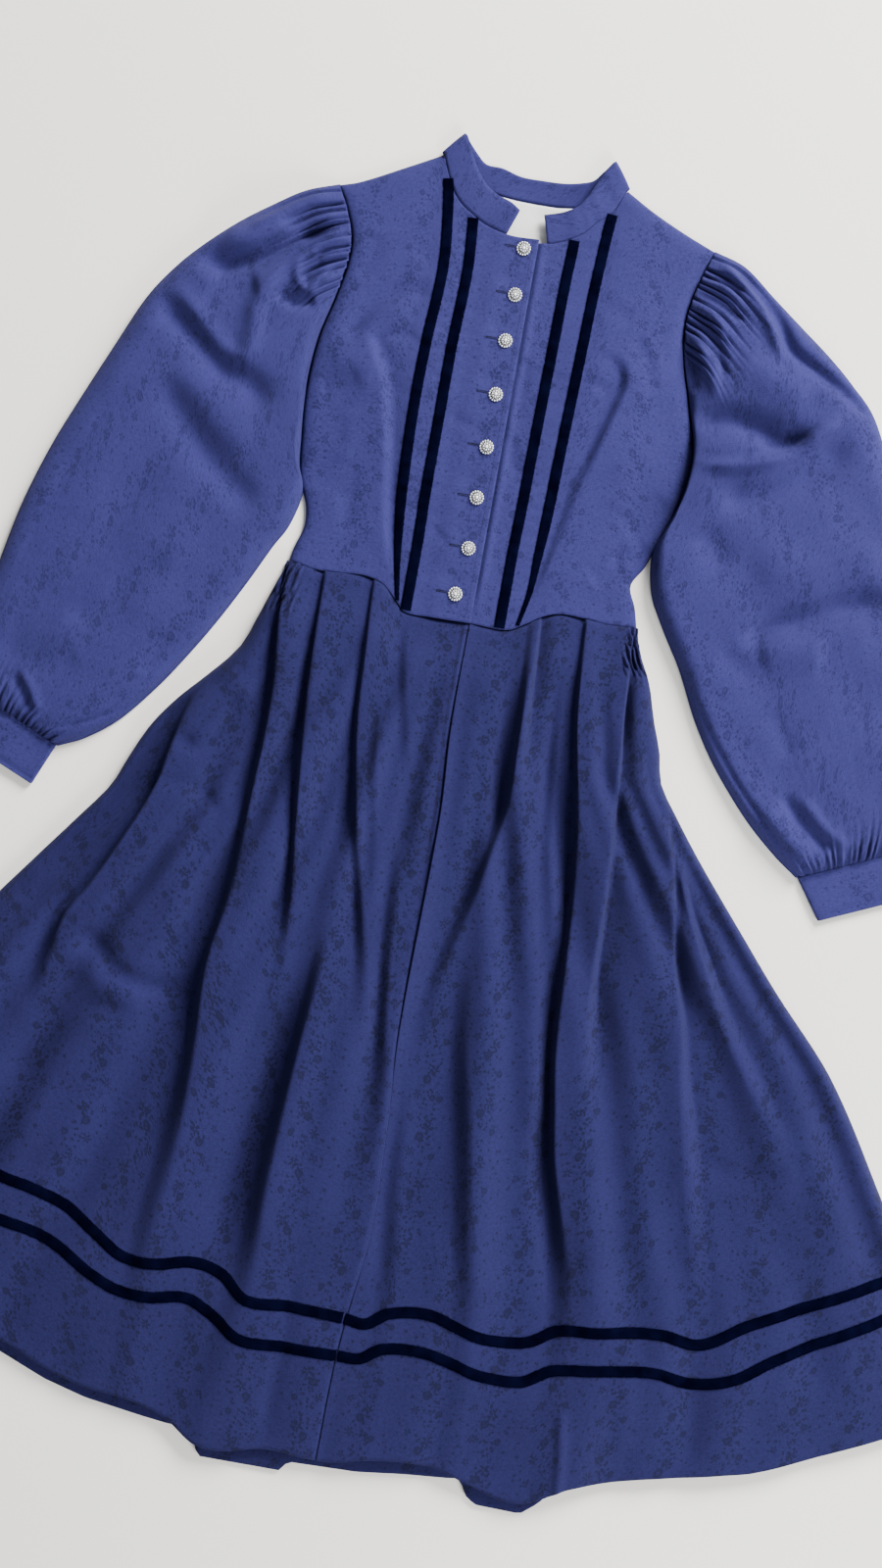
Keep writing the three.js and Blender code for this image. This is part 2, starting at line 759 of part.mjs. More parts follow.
const INNER_ROLL = 18;
const OUTER_ROLL = 30;
const FOLDED_RISE = 12; // where the sleeve stands lower than this, its folds are shallower too
function sleeveUpper(rings, folds) {
  return rings.map((ring, i) => {
    const at = i / (rings.length - 1);
    const width = Math.hypot(ring.at(-1)[0] - ring[0][0], ring.at(-1)[1] - ring[0][1]);
    const rise = read(SLEEVE_RISE, "at", "rise", at);
    const gather = read(SLEEVE_RISE, "at", "gather", at);
    return ring.map(([x, y], c) => {
      const share = sleeveShares[c];
      const edges = roll(share * width, INNER_ROLL) * roll((1 - share) * width, OUTER_ROLL);
      const gathered = c > plainRows || at > 0.5 ? gather * (c % 2 ? 1 : -1) : 0;
      const body = rise + Math.min(1, rise / FOLDED_RISE) * foldHeight(folds, x, y);
      return [x, y, REST + Math.max(0, edges * (body + gathered))];
    });
  });
}

// The under half of a sleeve: the outline of its rings, flat on the surface.
function sleeveOutline(rings) {
  return [
    ...rings[0],
    ...rings.slice(1, -1).map((ring) => ring.at(-1)),
    ...rings.at(-1).slice().reverse(),
    ...rings.slice(1, -1).reverse().map((ring) => ring[0]),
  ];
}

// --- cuffs --------------------------------------------------------------------------------------
// A flat tube: a slit loop carried from the sleeve's end to the cuff's edge.
const LOOP_TURNS = 4;
function cuffTube(arm, { acrossX, acrossY }) {
  const end = arm.at(-1);
  const depth = Math.hypot(acrossX, acrossY);
  const start = (2 * GAP) / depth;
  const width = Math.hypot(end.outerX - end.innerX, end.outerY - end.innerY);
  const loop = (inset) => {
    const radius = CUFF_THICKNESS / 2 - inset;
    const turn = (centre, from) =>
      steps(LOOP_TURNS).map((t) => {
        const angle = from + Math.PI * t;
        return [centre + radius * Math.cos(angle), CUFF_THICKNESS / 2 + radius * Math.sin(angle)];
      });
    const low = CUFF_THICKNESS / 2;
    const points = [...turn(low, Math.PI / 2), ...turn(width - low, -Math.PI / 2)];
    return [...points, points[0]];
  };
  const place = ([along, z], share) => [
    end.innerX + ((end.outerX - end.innerX) * along) / width + acrossX * share,
    end.innerY + ((end.outerY - end.innerY) * along) / width + acrossY * share,
    z,
  ];
  const tube = (inset) => [start, 0.5, 1].map((share) => loop(inset).map((p) => place(p, share)));
  return wall(tube(0), tube(CLOTH));
}

// --- skirt --------------------------------------------------------------------------------------
const skirtSide = (hand, y) => read(SKIRT_SIDES, "y", hand, y);
const centreSeam = (y) => read(CENTRE_SEAM, "y", "x", y);
const levelAt = (name, x) => read(SKIRT_LEVELS, "x", name, x);

// How high the skirt stands off its back: low at the waist, full below it, lower again at the hem.
function skirtHeight(hand, folds, x, y) {
  const edge = roll(Math.abs(x - skirtSide(hand, y)), EDGE_ROLL);
  const below = waistAt(x) - y;
  const overHem = y - levelAt("hem", x);
  const rise = lerp(WAIST_RISE, SKIRT_RISE, smoothstep(below, 0, SKIRT_EASE));
  const settled = lerp(HEM_SHARE, 1, smoothstep(overHem, 0, HEM_EASE));
  return REST + Math.max(0, edge * (rise * settled + foldHeight(folds, x, y)));
}

// The y of a row of points at an x between them.
function onEdge(points, x) {
  const sorted = points.slice().sort((a, b) => a[0] - b[0]);
  let i = 1;
  while (i < sorted.length - 1 && sorted[i][0] < x) i += 1;
  const [[ax, ay], [bx, by]] = [sorted[i - 1], sorted[i]];
  return lerp(ay, by, clamp((x - ax) / (bx - ax), 0, 1));
}

const HALF_RIBBON = RIBBON / 2;
const skirtRows = (bodice) => [
  ...steps(SKIRT_ROWS).map(
    (t) => (x) => lerp(onEdge(bodice[0], x) - WAIST_GAP, levelAt("upper", x) + HALF_RIBBON, t),
  ),
  (x) => levelAt("upper", x) - HALF_RIBBON,
  (x) => levelAt("lower", x) + HALF_RIBBON,
  (x) => levelAt("lower", x) - HALF_RIBBON,
  (x) => lerp(levelAt("lower", x) - HALF_RIBBON, levelAt("hem", x), 0.5),
  (x) => levelAt("hem", x),
];
const UPPER_RIBBON_ROWS = [SKIRT_ROWS, SKIRT_ROWS + 1];
const LOWER_RIBBON_ROWS = [SKIRT_ROWS + 2, SKIRT_ROWS + 3];

function skirtPanel(hand, bodice, folds) {
  const away = hand === "right" ? -1 : 1;
  const columns = steps(SKIRT_COLUMNS).map(
    (t) => (y) => lerp(centreSeam(y) + (away * GAP) / 2, skirtSide(hand, y), t),
  );
  return panelGrid(columns, skirtRows(bodice), (x, y) => skirtHeight(hand, folds, x, y));
}
const skirtRight = skirtPanel("right", bodiceRight, SKIRT_RIGHT_FOLDS);
const skirtLeft = skirtPanel("left", bodiceLeft, SKIRT_LEFT_FOLDS);

// The back, cut to the sides of the fronts, a seam's width under the back bodice.
const backSkirtOutline = [
  [BODICE_SIDES[0].right, sideColumn(bodiceRight)[0][1] - GAP],
  ...sideColumn(skirtRight).slice(1, -1),
  ...BACK_HEM.map(({ x, y }) => [x, y]),
  ...sideColumn(skirtLeft).slice(1, -1).reverse(),
  [BODICE_SIDES[0].left, sideColumn(bodiceLeft)[0][1] - GAP],
];

// --- buttons ------------------------------------------------------------------------------------
function buttonGeometry() {
  const profile = BUTTON_PROFILE.map(
    ({ radius, height }) => new THREE.Vector2(radius * BUTTON_RADIUS, height * BUTTON_HEIGHT),
  );
  return new THREE.LatheGeometry(profile, BUTTON_SIDES).rotateX(Math.PI / 2);
}

// The highest point of the band under a button, which it rests on.
function seatOf(x, y) {
  const rim = steps(BUTTON_SIDES).map((t) => {
    const angle = 2 * Math.PI * t;
    const [px, py] = [x + BUTTON_RADIUS * Math.cos(angle), y + BUTTON_RADIUS * Math.sin(angle)];
    return bodiceHeight("right", px, py) + bandLift(px);
  });
  return Math.max(...rim) + CLOTH + GAP;
}

// --- the dress ----------------------------------------------------------------------------------
const paint = (color, roughness, metalness = 0) =>
  new THREE.MeshStandardMaterial({ color, roughness, metalness, side: THREE.DoubleSide });
const WOOL = paint(0x4a5599, 0.85);
const VELVET_BLACK = paint(0x0a0a20, 0.95);
const COTTON = paint(0xe8e8e6, 0.9);
const SILVER = paint(0xc8c8cc, 0.3, 1);

const dirndl = new THREE.Group();
function add(name, geometry, material) {
  const mesh = new THREE.Mesh(geometry, material);
  mesh.name = name;
  dirndl.add(mesh);
  return mesh;
}

add("bodice_back", flat(bodiceBackOutline, CLOTH), WOOL);
add("lining_back", flat(liningOutline, LINING, REST), COTTON);
add("bodice_front_right", cloth(bodiceRight), WOOL);
add("bodice_front_left", cloth(bodiceLeft), WOOL);
add("collar", band(collarGrid, CLOTH), WOOL);

const allRows = steps(BODICE_ROWS).map((_, r) => r);
for (const [hand, grid] of [
  ["right", bodiceRight],
  ["left", bodiceLeft],
]) {
  add(`ribbon_${hand}_inner`, lying(grid, allRows, INNER_RIBBON, VELVET), VELVET_BLACK);
  add(`ribbon_${hand}_outer`, lying(grid, allRows, OUTER_RIBBON, VELVET), VELVET_BLACK);
}

for (const [hand, bodice, cap, arm, folds, cuff] of [
  ["right", bodiceRight, CAP_RIGHT, ARM_RIGHT, SLEEVE_RIGHT_FOLDS, CUFF_RIGHT],
  ["left", bodiceLeft, CAP_LEFT, ARM_LEFT, SLEEVE_LEFT_FOLDS, CUFF_LEFT],
]) {
  const fine = sleeveRings(bodice, cap, arm, sleeveShares);
  const plain = sleeveRings(bodice, cap, arm, steps(armRows));
  add(`sleeve_${hand}_upper`, cloth(sleeveUpper(fine, folds)), WOOL);
  add(`sleeve_${hand}_under`, flat(sleeveOutline(plain), CLOTH), WOOL);
  add(`cuff_${hand}`, cuffTube(arm, cuff), WOOL);
}

add("skirt_back", flat(backSkirtOutline, CLOTH), WOOL);
const allColumns = steps(SKIRT_COLUMNS).map((_, c) => c);
for (const [hand, grid] of [
  ["right", skirtRight],
  ["left", skirtLeft],
]) {
  add(`skirt_front_${hand}`, cloth(grid), WOOL);
  add(`hem_ribbon_upper_${hand}`, lying(grid, UPPER_RIBBON_ROWS, allColumns, VELVET), VELVET_BLACK);
  add(`hem_ribbon_lower_${hand}`, lying(grid, LOWER_RIBBON_ROWS, allColumns, VELVET), VELVET_BLACK);
}

BUTTONS.forEach(({ x, y }, i) => {
  add(`button_${i + 1}`, buttonGeometry(), SILVER).position.set(x, y, seatOf(x, y));
});

export default dirndl;
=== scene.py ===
"""A dirndl laid flat, seen from straight above.

Every length in the tables is in millimetres, in the part's own frame: the origin is at the waist of the
centre front on the surface, +X runs to the wearer's left, +Y up to the neck and +Z off the surface.
Meshes are made in those millimetres and scaled to metres as they are stored.
"""

import math
from functools import partial

import bpy
import numpy as np
from mathutils import Matrix, Vector


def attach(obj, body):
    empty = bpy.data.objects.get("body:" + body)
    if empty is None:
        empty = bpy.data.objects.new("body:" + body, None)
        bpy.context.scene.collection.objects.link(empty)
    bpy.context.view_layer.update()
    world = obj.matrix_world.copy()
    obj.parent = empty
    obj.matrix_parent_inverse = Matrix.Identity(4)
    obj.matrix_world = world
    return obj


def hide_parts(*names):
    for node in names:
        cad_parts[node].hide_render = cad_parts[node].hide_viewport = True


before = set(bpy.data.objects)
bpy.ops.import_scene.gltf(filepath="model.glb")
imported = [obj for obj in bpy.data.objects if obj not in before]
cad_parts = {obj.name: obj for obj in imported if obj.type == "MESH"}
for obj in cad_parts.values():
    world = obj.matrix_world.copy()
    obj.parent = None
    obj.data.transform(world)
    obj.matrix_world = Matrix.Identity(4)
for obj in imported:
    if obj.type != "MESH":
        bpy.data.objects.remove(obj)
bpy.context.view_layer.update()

# --- driving dimensions ---------------------------------------------------------------------------
MM = 0.001
CLOTH = 1.6  # what the part allows for a wall of cloth
SHELL = 1.3  # the cloth itself
GAP = 0.3
REST = CLOTH + GAP  # underside of cloth that lies on a back panel
LAP = 24  # how far the left front runs under the button band
BAND_EDGE = 1  # edge of the button band, past the centre line
BODICE_RISE = 4
BUST_RISE = 7
BUST_REACH = 85
BUST_STRETCH = 1.3
BUSTS = ((-112, 245), (92, 245))
EDGE_ROLL = 16
WAIST_RISE = 3.5
BODICE_EASE = 50
SKIRT_RISE = 17
SKIRT_ROLL = 22
SKIRT_EASE = 60
HEM_EASE = 120
HEM_SHARE = 0.55
RIBBON = 10
PILE = 1.1  # how far a velvet ribbon stands off the cloth
CUFF_THICKNESS = 6.4
BUTTON_RADIUS = 7
LEAST = 1.5  # what a trough leaves between an upper layer and the one below
LOWEST = 0.05  # nothing of the dress lies lower
FLOOR = -0.1
SEED = 7
AWAY = {"right": -1, "left": 1}  # the sign of x on each side

# --- tables ---------------------------------------------------------------------------------------


def numbers(text):
    """Rows of numbers from text: one on each line, or several with bars between them."""
    rows = text.replace("|", "\n").split("\n")
    return [[float(word) for word in row.split()] for row in rows if row.strip()]


class Table:
    """Rows of numbers under column names. The first column is the one that the rows are read by."""

    def __init__(self, names, rows):
        columns = np.array(numbers(rows) if isinstance(rows, str) else rows, dtype=float).T
        self.column = dict(zip(names.split(), columns))
        self.key = columns[0]

    def read(self, name, at):
        """A column's value between the rows, on a smooth curve through them."""
        at = np.asarray(at, dtype=float)
        key, value = self.key, self.column[name]
        slope = np.empty_like(value)
        slope[1:-1] = (value[2:] - value[:-2]) / (key[2:] - key[:-2])
        slope[0] = (value[1] - value[0]) / (key[1] - key[0])
        slope[-1] = (value[-1] - value[-2]) / (key[-1] - key[-2])
        i = np.clip(np.searchsorted(key, at) - 1, 0, len(key) - 2)
        span = key[i + 1] - key[i]
        t = np.clip((at - key[i]) / span, 0, 1)
        return (
            value[i] * (1 + 2 * t) * (1 - t) ** 2
            + slope[i] * span * t * (1 - t) ** 2
            + value[i + 1] * t * t * (3 - 2 * t)
            + slope[i + 1] * span * t * t * (t - 1)
        )


# Side edges of the bodice, and the waist seam, which dips to a level stretch at the centre.
BODICE_SIDES = Table(
    "y right left",
    """
    26 -184 162 | 45 -181 157 | 66 -175 149 | 87 -177 160 | 115 -188 169 | 150 -193 181 | 200 -197 187
    250 -194 174 | 290 -185 162 | 325 -179 157 | 350 -179 159 | 375 -187 165 | 401 -200 173
    """,
)
WAIST = Table(
    "x y",
    """
    -184 31 | -150 27 | -110 30 | -90 25 | -76 13 | -64 2 | -40 1 | 0 2 | 38 2 | 55 11 | 72 22 | 90 27
    130 25 | 162 26
    """,
)
SHOULDER = {
    "right": Table("x y", [(-200, 401), (-180, 408), (-140, 429), (-105, 448)]),
    "left": Table("x y", [(78, 445), (107, 429), (140, 414), (173, 401)]),
}
NECK = {
    "right": Table(
        "x y",
        [(-105, 448), (-93, 420), (-82, 405), (-68, 395), (-53, 387), (-31, 381), (1, 381)],
    ),
    "left": Table(
        "x y",
        [(-24, 378), (10, 379), (27, 385), (43, 395), (53, 407), (67, 420), (78, 445)],
    ),
}
# Centre lines of the bodice ribbons, and how much of its full width an outer one has.
BODICE_RIBBONS = Table(
    "y rightOuter rightInner leftInner leftOuter width",
    """
    2 -71 -63 30 46 0.3 | 40 -78 -63 30 53 0.5 | 75 -83 -63 30 55 0.8 | 117 -87 -64 31 57 1
    200 -90 -64 32 59 1 | 267 -89 -64 33 61 1 | 340 -86 -62 34 63 1 | 400 -92 -66 36 66 1
    433 -98 -66 36 69 1
    """,
)
COLLAR_TOP = {
    "right": [(-22, 406), (-33, 413), (-47, 418), (-60, 427), (-73, 445), (-80, 460), (-85, 469)],
    "left": [(2, 406), (20, 412), (33, 420), (40, 430), (47, 445), (52, 457), (59, 468)],
}
COLLAR_BACK = Table(
    "seamX seamY topX topY",
    """
    -104 447 -85 469 | -88 438 -72 455 | -70 428 -62 447 | -50 420 -46 446 | -28 418 -26 441
    -7 417.5 -3 441 | 14 418 16 442 | 34 421 31 445 | 52 430 44 450 | 66 438 52 460 | 77 444 59 468
    """,
)
SKIRT_SIDES = Table(
    "y right left",
    """
    -672 -613 613 | -560 -545 545 | -485 -499 499 | -375 -432 428 | -300 -378 359 | -250 -341 316
    -215 -316 286 | -185 -304 261 | -150 -288 234 | -120 -267 213 | -90 -240 206 | -60 -216 195
    -25 -203 184 | 5 -193 169 | 31 -184 162
    """,
)
# Heights of the two hem ribbons and the hem of the front, and the hem of the back.
SKIRT_LEVELS = Table(
    "x upper lower hem",
    """
    -613 -518 -553 -672 | -533 -545 -580 -700 | -450 -574 -609 -730 | -354 -606 -646 -758
    -315 -615 -655 -770 | -283 -627 -667 -784 | -252 -646 -685 -794 | -222 -664 -697 -799
    -190 -665 -698 -802 | -155 -658 -693 -813 | -125 -664 -706 -832 | -98 -683 -722 -835
    -55 -683 -723 -826 | 0 -685 -722 -828 | 22 -687 -721 -825 | 42 -673 -708 -819 | 80 -667 -704 -814
    112 -675 -710 -815 | 142 -681 -717 -823 | 180 -677 -716 -834 | 208 -660 -700 -832 | 243 -655 -693 -812
    306 -646 -684 -792 | 345 -650 -689 -783 | 385 -625 -676 -773 | 420 -606 -651 -764 | 510 -559 -598 -723
    560 -534 -570 -698 | 613 -505 -543 -672
    """,
)
BACK_HEM = Table(
    "x y",
    """
    -612 -671 | -450 -727 | -326 -779 | -278 -798 | -236 -809 | -178 -817 | -125 -823 | -122 -838
    -116 -846 | -36 -846 | -29 -836 | 38 -834 | 85 -828 | 141 -823 | 145 -836 | 158 -845 | 203 -846
    219 -833 | 233 -816 | 306 -789 | 420 -761 | 612 -671
    """,
)
CENTRE_SEAM = Table(
    "y x",
    """
    -830 -2 | -720 0 | -600 11 | -500 9 | -400 4 | -190 6 | -100 1 | 5 1
    """,
)

# Folds. Each follows its path of plan points and dies away at both ends. It rises by `rise`, or sinks
# where that is under zero, and is `right` wide on the right hand of the path and `left` wide on the left.
# A row holds right, left, rise, and then the x and y of each point of the path.
FOLDS = {
    "bodice": """
        10 10 -5  -88 314  -120 309  -142 296  -157 275  -164 246
        9 9 2.2  -108 293  -130 285  -147 270  -156 250
        6 6 -3  -142 250  -128 262  -98 270
        14 14 2.4  -180 236  -155 229  -130 226
        13 13 -2.2  -186 200  -166 208  -146 220
        12 12 -2.2  -158 362  -155 340  -162 312
        9 9 -2  -141 112  -136 90  -133 66
        15 15 -2  -184 122  -156 112  -124 118
        10 9 -3.6  124 94  145 93  162 106
        14 12 -3  108 62  124 76  140 86
        9 9 1.8  118 302  134 286  140 260
        7 7 -1.8  104 302  122 293  132 270  134 246
        16 16 -2.6  174 152  152 130  132 112
        6 8 -1.8  7 270  9 235  12 200
        6 7 -2  9 190  13 166  23 148
        7 6 -1.8  64 255  82 252  98 247
        6 5 -1.2  -54 196  -42 193  -30 190
        6 5 -1.8  -54 89  -42 79  -31 71
        8 8 1.6  -116 350  -112 320  -118 296
        9 9 -1.4  70 328  88 326  106 318
        12 12 1.8  116 190  124 160  120 130
        10 10 1.6  -150 190  -146 160  -150 130
    """,
    "skirtRight": """
        9 11 -6  -330 -362  -300 -372  -280 -391  -250 -402  -200 -400
        12 12 3  -338 -378  -305 -393  -280 -413  -240 -421
        14 12 -5  -374 -520  -345 -478  -318 -445  -285 -428  -250 -424
        8 8 -5  -264 -152  -238 -165  -218 -140  -203 -106
        8 5 -2.6  -268 -208  -240 -200  -218 -212  -200 -232
        5 5 2.4  -236 -84  -214 -95  -196 -113
        26 26 -4  -468 -480  -485 -580  -506 -690
        22 22 3  -390 -430  -400 -540  -413 -650
        20 20 -3  -298 -630  -316 -700  -330 -770
        9 9 -2  -53 -640  -56 -740  -58 -826
        16 16 2.5  -228 -250  -236 -300  -232 -360
    """,
    "skirtLeft": """
        12 12 -3  300 -468  350 -483  404 -468
        16 16 -3  246 -430  276 -520  304 -600
        14 14 2.6  222 -190  226 -250  238 -310
        26 22 -4  400 -470  436 -580  472 -700
        4 6 3  222 -730  230 -780  235 -834
        14 14 -2.6  330 -640  346 -700  357 -780
        12 12 2  276 -640  280 -700  292 -780
    """,
    "sleeveRight": """
        15 17.5 7.2  -338 332  -305 338  -280 330  -255 340  -230 353
        11.2 11.2 -12  -330 306  -295 303  -268 312  -245 328  -220 346  -188 353
        17.5 17.5 -4.8  -306 292  -280 284  -258 292
        10 10 6.6  -352 278  -320 254  -298 234  -278 217  -262 217  -255 240  -256 270  -246 295  -222 318
        15 15 -8.4  -362 266  -325 240  -300 221  -275 202  -250 190  -222 162
        17.5 17.5 3.6  -335 204  -300 178  -270 152  -236 124
        16.2 16.2 -7.2  -342 184  -310 150  -285 122  -260 100  -238 82  -224 58
        5 5 5  -224 325  -223 302  -211 290  -203 302  -189 320
        6 7 -6  -242 286  -222 277  -200 283
        5 5 4.4  -190 395  -225 378  -255 356  -280 338
        4 4 -4  -187 384  -220 366  -250 347
        4.5 4.5 4  -184 373  -215 357  -244 337
        4 4 -4  -181 363  -205 352  -230 340
        4 4 3.6  -178 353  -200 344  -218 333
        3.5 3.5 -3.6  -176 345  -194 338  -210 328
        3.5 3.5 3.2  -175 337  -192 330  -206 321
        10 11.2 -3.36  -294 16  -330 -16  -355 -42  -390 -70
        15 15 -2.4  -450 -100  -410 -108  -364 -100
        10 10 -1.8  -288 -60  -294 -80  -304 -104
        5 5 -4  -432 -122  -416 -140  -406 -160
        5 5 3.4  -422 -120  -408 -138  -396 -160
        3 3 -3  -390 -174  -345 -157  -300 -124  -262 -76  -224 -18
    """,
    "sleeveLeft": """
        5 5 6  172 396  205 371  226 350  241 330  254 300
        7 7 -10  180 400  218 370  246 343  262 318  292 301  330 281  362 260
        17.5 17.5 3.6  212 390  255 360  300 330  350 292
        4 4 -4.4  160 380  185 374  208 361
        4 4 4  159 370  186 364  209 348
        4 4 -4.4  158 358  184 350  211 334
        4.5 4.5 4.4  156 348  180 336  199 314
        5 5 -5  155 337  180 320  196 296  203 272
        6 6 5  156 325  176 300  190 276  199 256
        5 5 -4.4  156 310  168 286  179 258
        17.5 17.5 4.8  208 298  245 286  290 268
        13.8 13.8 -13.2  176 230  212 240  242 237  270 229  298 242
        3 3 -3.6  244 221  274 225  290 239  302 253
        6 6 7  186 190  225 196  256 206  286 223  306 245  332 268
        13.8 13.8 -8.4  206 165  246 168  282 186  312 211  338 245
        15 15 -4.1  208 132  222 112  240 97
        25 25 4.3  255 98  320 112  396 130
        11.2 11.2 -10.2  262 22  290 49  320 63  352 80  404 99
        17.5 17.5 5.3  280 20  310 30  350 30
        11.2 11.2 -3.3  304 -30  318 -52  333 -75
        10 10 -2.05  242 16  262 8  284 -4
        7 7 -1.2  235 -36  246 -28  259 -36
        7 7 -6  328 -108  354 -134  388 -158
        10 10 4.8  312 -122  340 -148  370 -170
        6 6 4  346 -106  376 -134  408 -152
        3 3 -3  202 14  242 -52  284 -106  328 -150  362 -176
    """,
}

# Pleats of the skirt and darts of the bodice, a blank line between one and the next. At each height, x is
# the pleat's edge. On the side of the wearer's right the cloth is raised by `before` over a width of `wide`,
# on the left by `after` over `broad`, and the higher side leans over the lower one by `lip`. Under zero is
# a hollow.
PLEAT = "y x before wide after broad lip"
PLEATS = {
    "bodiceRight": """
        12 -76 1.5 14 -1 5.6 0 | 50 -88 2 16 -3 6.3 0 | 100 -99 2.4 18 -4 7 0 | 150 -106 3 20 -4.5 8.4 0
        180 -112 3.5 22 -4.5 9.8 0 | 215 -120 3.5 22 -4.5 11.2 0 | 235 -128 3.5 20 -4 11.2 0
        252 -138 2.5 18 -3 9.8 0 | 264 -142 0 18 0 9.8 0
    """,
    "bodiceLeft": """
        25 54 -0.5 8 0.5 14 0 | 60 62 -2 10 1.5 16 0.5 | 110 72 -2.6 12 1.8 18 0 | 150 79 -3.6 12 2.4 20 0
        175 87 -4.2 14 3 22 0.5 | 205 95 -4.6 16 3.6 22 1 | 235 103 -4.6 16 3.6 22 1
        258 108 -4.4 14 3.4 20 1 | 273 104 -3 12 2.4 18 0.5 | 286 96 0 14 0 18 0
    """,
    "skirtRight": """
        -800 -205 -3 28 2 36 0 | -650 -207 -5 28 3 36 0 | -550 -197 -6 30 3.5 36 0 | -450 -193 -8 30 4 32 1
        -370 -193 -9 30 4 28 2.5 | -300 -185 -8 35 3 30 1 | -200 -180 -7.5 30 3 30 1
        -150 -176 -7 22 3.5 28 2 | -100 -175 -6 14 4 25 3 | -60 -178 -5 10 4 22 3 | -20 -181 -3 8 3 18 3
        28 -182 -2 6 2.5 18 2

        -520 -138 0 14 0 14 0 | -450 -134 -1 14 1 14 0 | -360 -124 -2 14 1.5 12 0 | -300 -124 -3.5 12 3 12 1
        -240 -129 -5 12 3.5 12 2 | -170 -135 -6 12 4 14 2.5 | -100 -141 -6 12 4 14 3 | -40 -143 -4 10 3 14 3
        28 -146 -1.5 8 2 14 2

        -430 -33 0 10 0 10 0 | -360 -42 -2 10 2 10 0 | -300 -53 -3 12 3 12 1 | -240 -67 -3 12 3 14 1
        -190 -78 -3.5 12 3 12 1.5 | -110 -90 -3.5 10 3 12 2 | -50 -93 -3 9 3 12 2 | 14 -97 -1.5 8 2 10 2

        -300 -44 0 6 0 10 0 | -230 -55 -2 6 1.6 10 0 | -160 -66 -2 6 2 10 0 | -80 -75 0 6 0 10 0

        -170 -30 0 14 0 16 0 | -110 -44 -1.6 16 1 18 0 | -50 -56 -1.6 14 1 16 0 | -5 -62 0 10 0 14 0

        -540 -3 0 12 0 10 0 | -450 -8 -3 12 1.6 10 0 | -400 -14 -4 12 2 10 0.5 | -340 -21 -4 12 2 10 0.5
        -270 -27 -2.5 10 1.5 10 0 | -220 -31 0 10 0 10 0

        -826 -128 -4 26 2 30 0 | -740 -116 -4 28 2 34 0 | -650 -104 -5 30 3 34 0
        -580 -103 -7 32 3.5 34 0.5 | -500 -98 -8 32 4 30 1 | -430 -92 -8 30 4 26 1.5
        -360 -87 -4 25 3 20 0.5 | -310 -85 0 25 0 20 0

        -440 -354 0 28 0 24 0 | -390 -348 -5 28 2 24 0.5 | -345 -336 -8 28 3 24 2
        -315 -318 -8 28 3.5 24 2.5 | -280 -300 -8 24 3.5 26 3 | -245 -284 -8 20 3.5 26 3
        -205 -269 -7 18 3.5 26 3 | -170 -264 -5 16 3 24 2 | -130 -256 -3 14 2 20 1 | -90 -241 0 14 0 20 0
    """,
    "skirtLeft": """
        -430 19 0 14 0 14 0 | -350 28 -2 14 2 14 0 | -290 42 -4 16 2.5 14 0.5 | -230 56 -6 18 3 12 1
        -170 66 -6 20 3.5 8 1 | -110 66 -4 18 3.5 6 1 | -50 63 -2 12 3 5 0.5 | 10 60 -0.5 8 1 4 0

        -150 81 0 4 0 10 0 | -80 73 1.5 4 -3.5 9 0.5 | -30 70 1.5 4 -4.5 8 1.5 | 14 68 1 4 -3 6 1.5

        -320 131 0 12 0 12 0 | -260 124 -1.6 12 1 12 0 | -200 113 -3 14 1.5 12 0 | -120 104 -2.5 12 1.5 12 0
        -30 97 0 8 0 12 0

        -830 216 -1 16 1 28 0 | -650 205 -4 16 2 28 0 | -600 197 -7 16 3 28 0 | -550 186 -10 16 3.5 26 1.5
        -500 174 -12 14 4 22 3 | -450 165 -11 10 4.5 20 3 | -400 157 -9 12 4.5 18 3 | -350 153 -8 18 4 18 3
        -260 148 -6 22 4 16 2.5 | -170 137 -5 20 3.5 16 2 | -80 121 -4 16 3.5 16 2 | -30 116 -3 14 3 14 2
        22 113 -1.5 10 2.5 12 1.5

        -440 198 0 12 0 18 0 | -360 186 2 12 -4 18 0.5 | -310 180 3.5 12 -7 18 1.5 | -260 178 4 12 -9 16 2.5
        -210 176 3.5 12 -8 12 2.5 | -165 173 3 12 -5 8 2 | -110 168 3 12 -4 6 2 | -60 163 3 12 -7 6 2.5
        0 160 2 12 -3 5 1.5

        -670 352 0 22 0 22 0 | -590 336 1.5 22 -2.5 22 0 | -520 317 2 22 -4 22 0 | -450 300 2.5 22 -5 20 0
        -400 286 2.5 20 -5 16 0.5 | -345 273 3 18 -4 8 1.5 | -310 262 3 20 -5 7 2 | -270 251 3 20 -5 7 2
        -230 243 3 18 -4 6 2 | -180 232 2.5 16 -3 5 1.5 | -120 218 0 12 0 4 0

        -450 398 0 18 0 30 0 | -380 345 1 18 -5 30 0 | -330 312 1.5 16 -6 30 0 | -290 290 2 14 -7 28 0.5
        -250 268 2 12 -8 22 1 | -215 252 2 10 -5 14 1 | -185 242 0 10 0 14 0

        -820 120 -4 22 2 22 0 | -740 118 -4.5 22 2 22 0 | -650 112 -4 22 2.5 20 0
        -600 103 -4.5 20 2.5 18 0 | -540 92 -4.5 20 2 18 0 | -470 78 -4 18 2 16 0 | -400 63 -3 16 1.5 16 0
        -310 54 0 16 0 16 0

        -815 36 -2 10 1.4 14 0 | -720 36 -2.5 10 1.6 14 0 | -630 33 -3.5 10 2 14 0 | -560 24 -3.5 10 2 12 0
        -500 20 -2 8 1.5 12 0 | -440 18 0 8 0 12 0
    """,
}

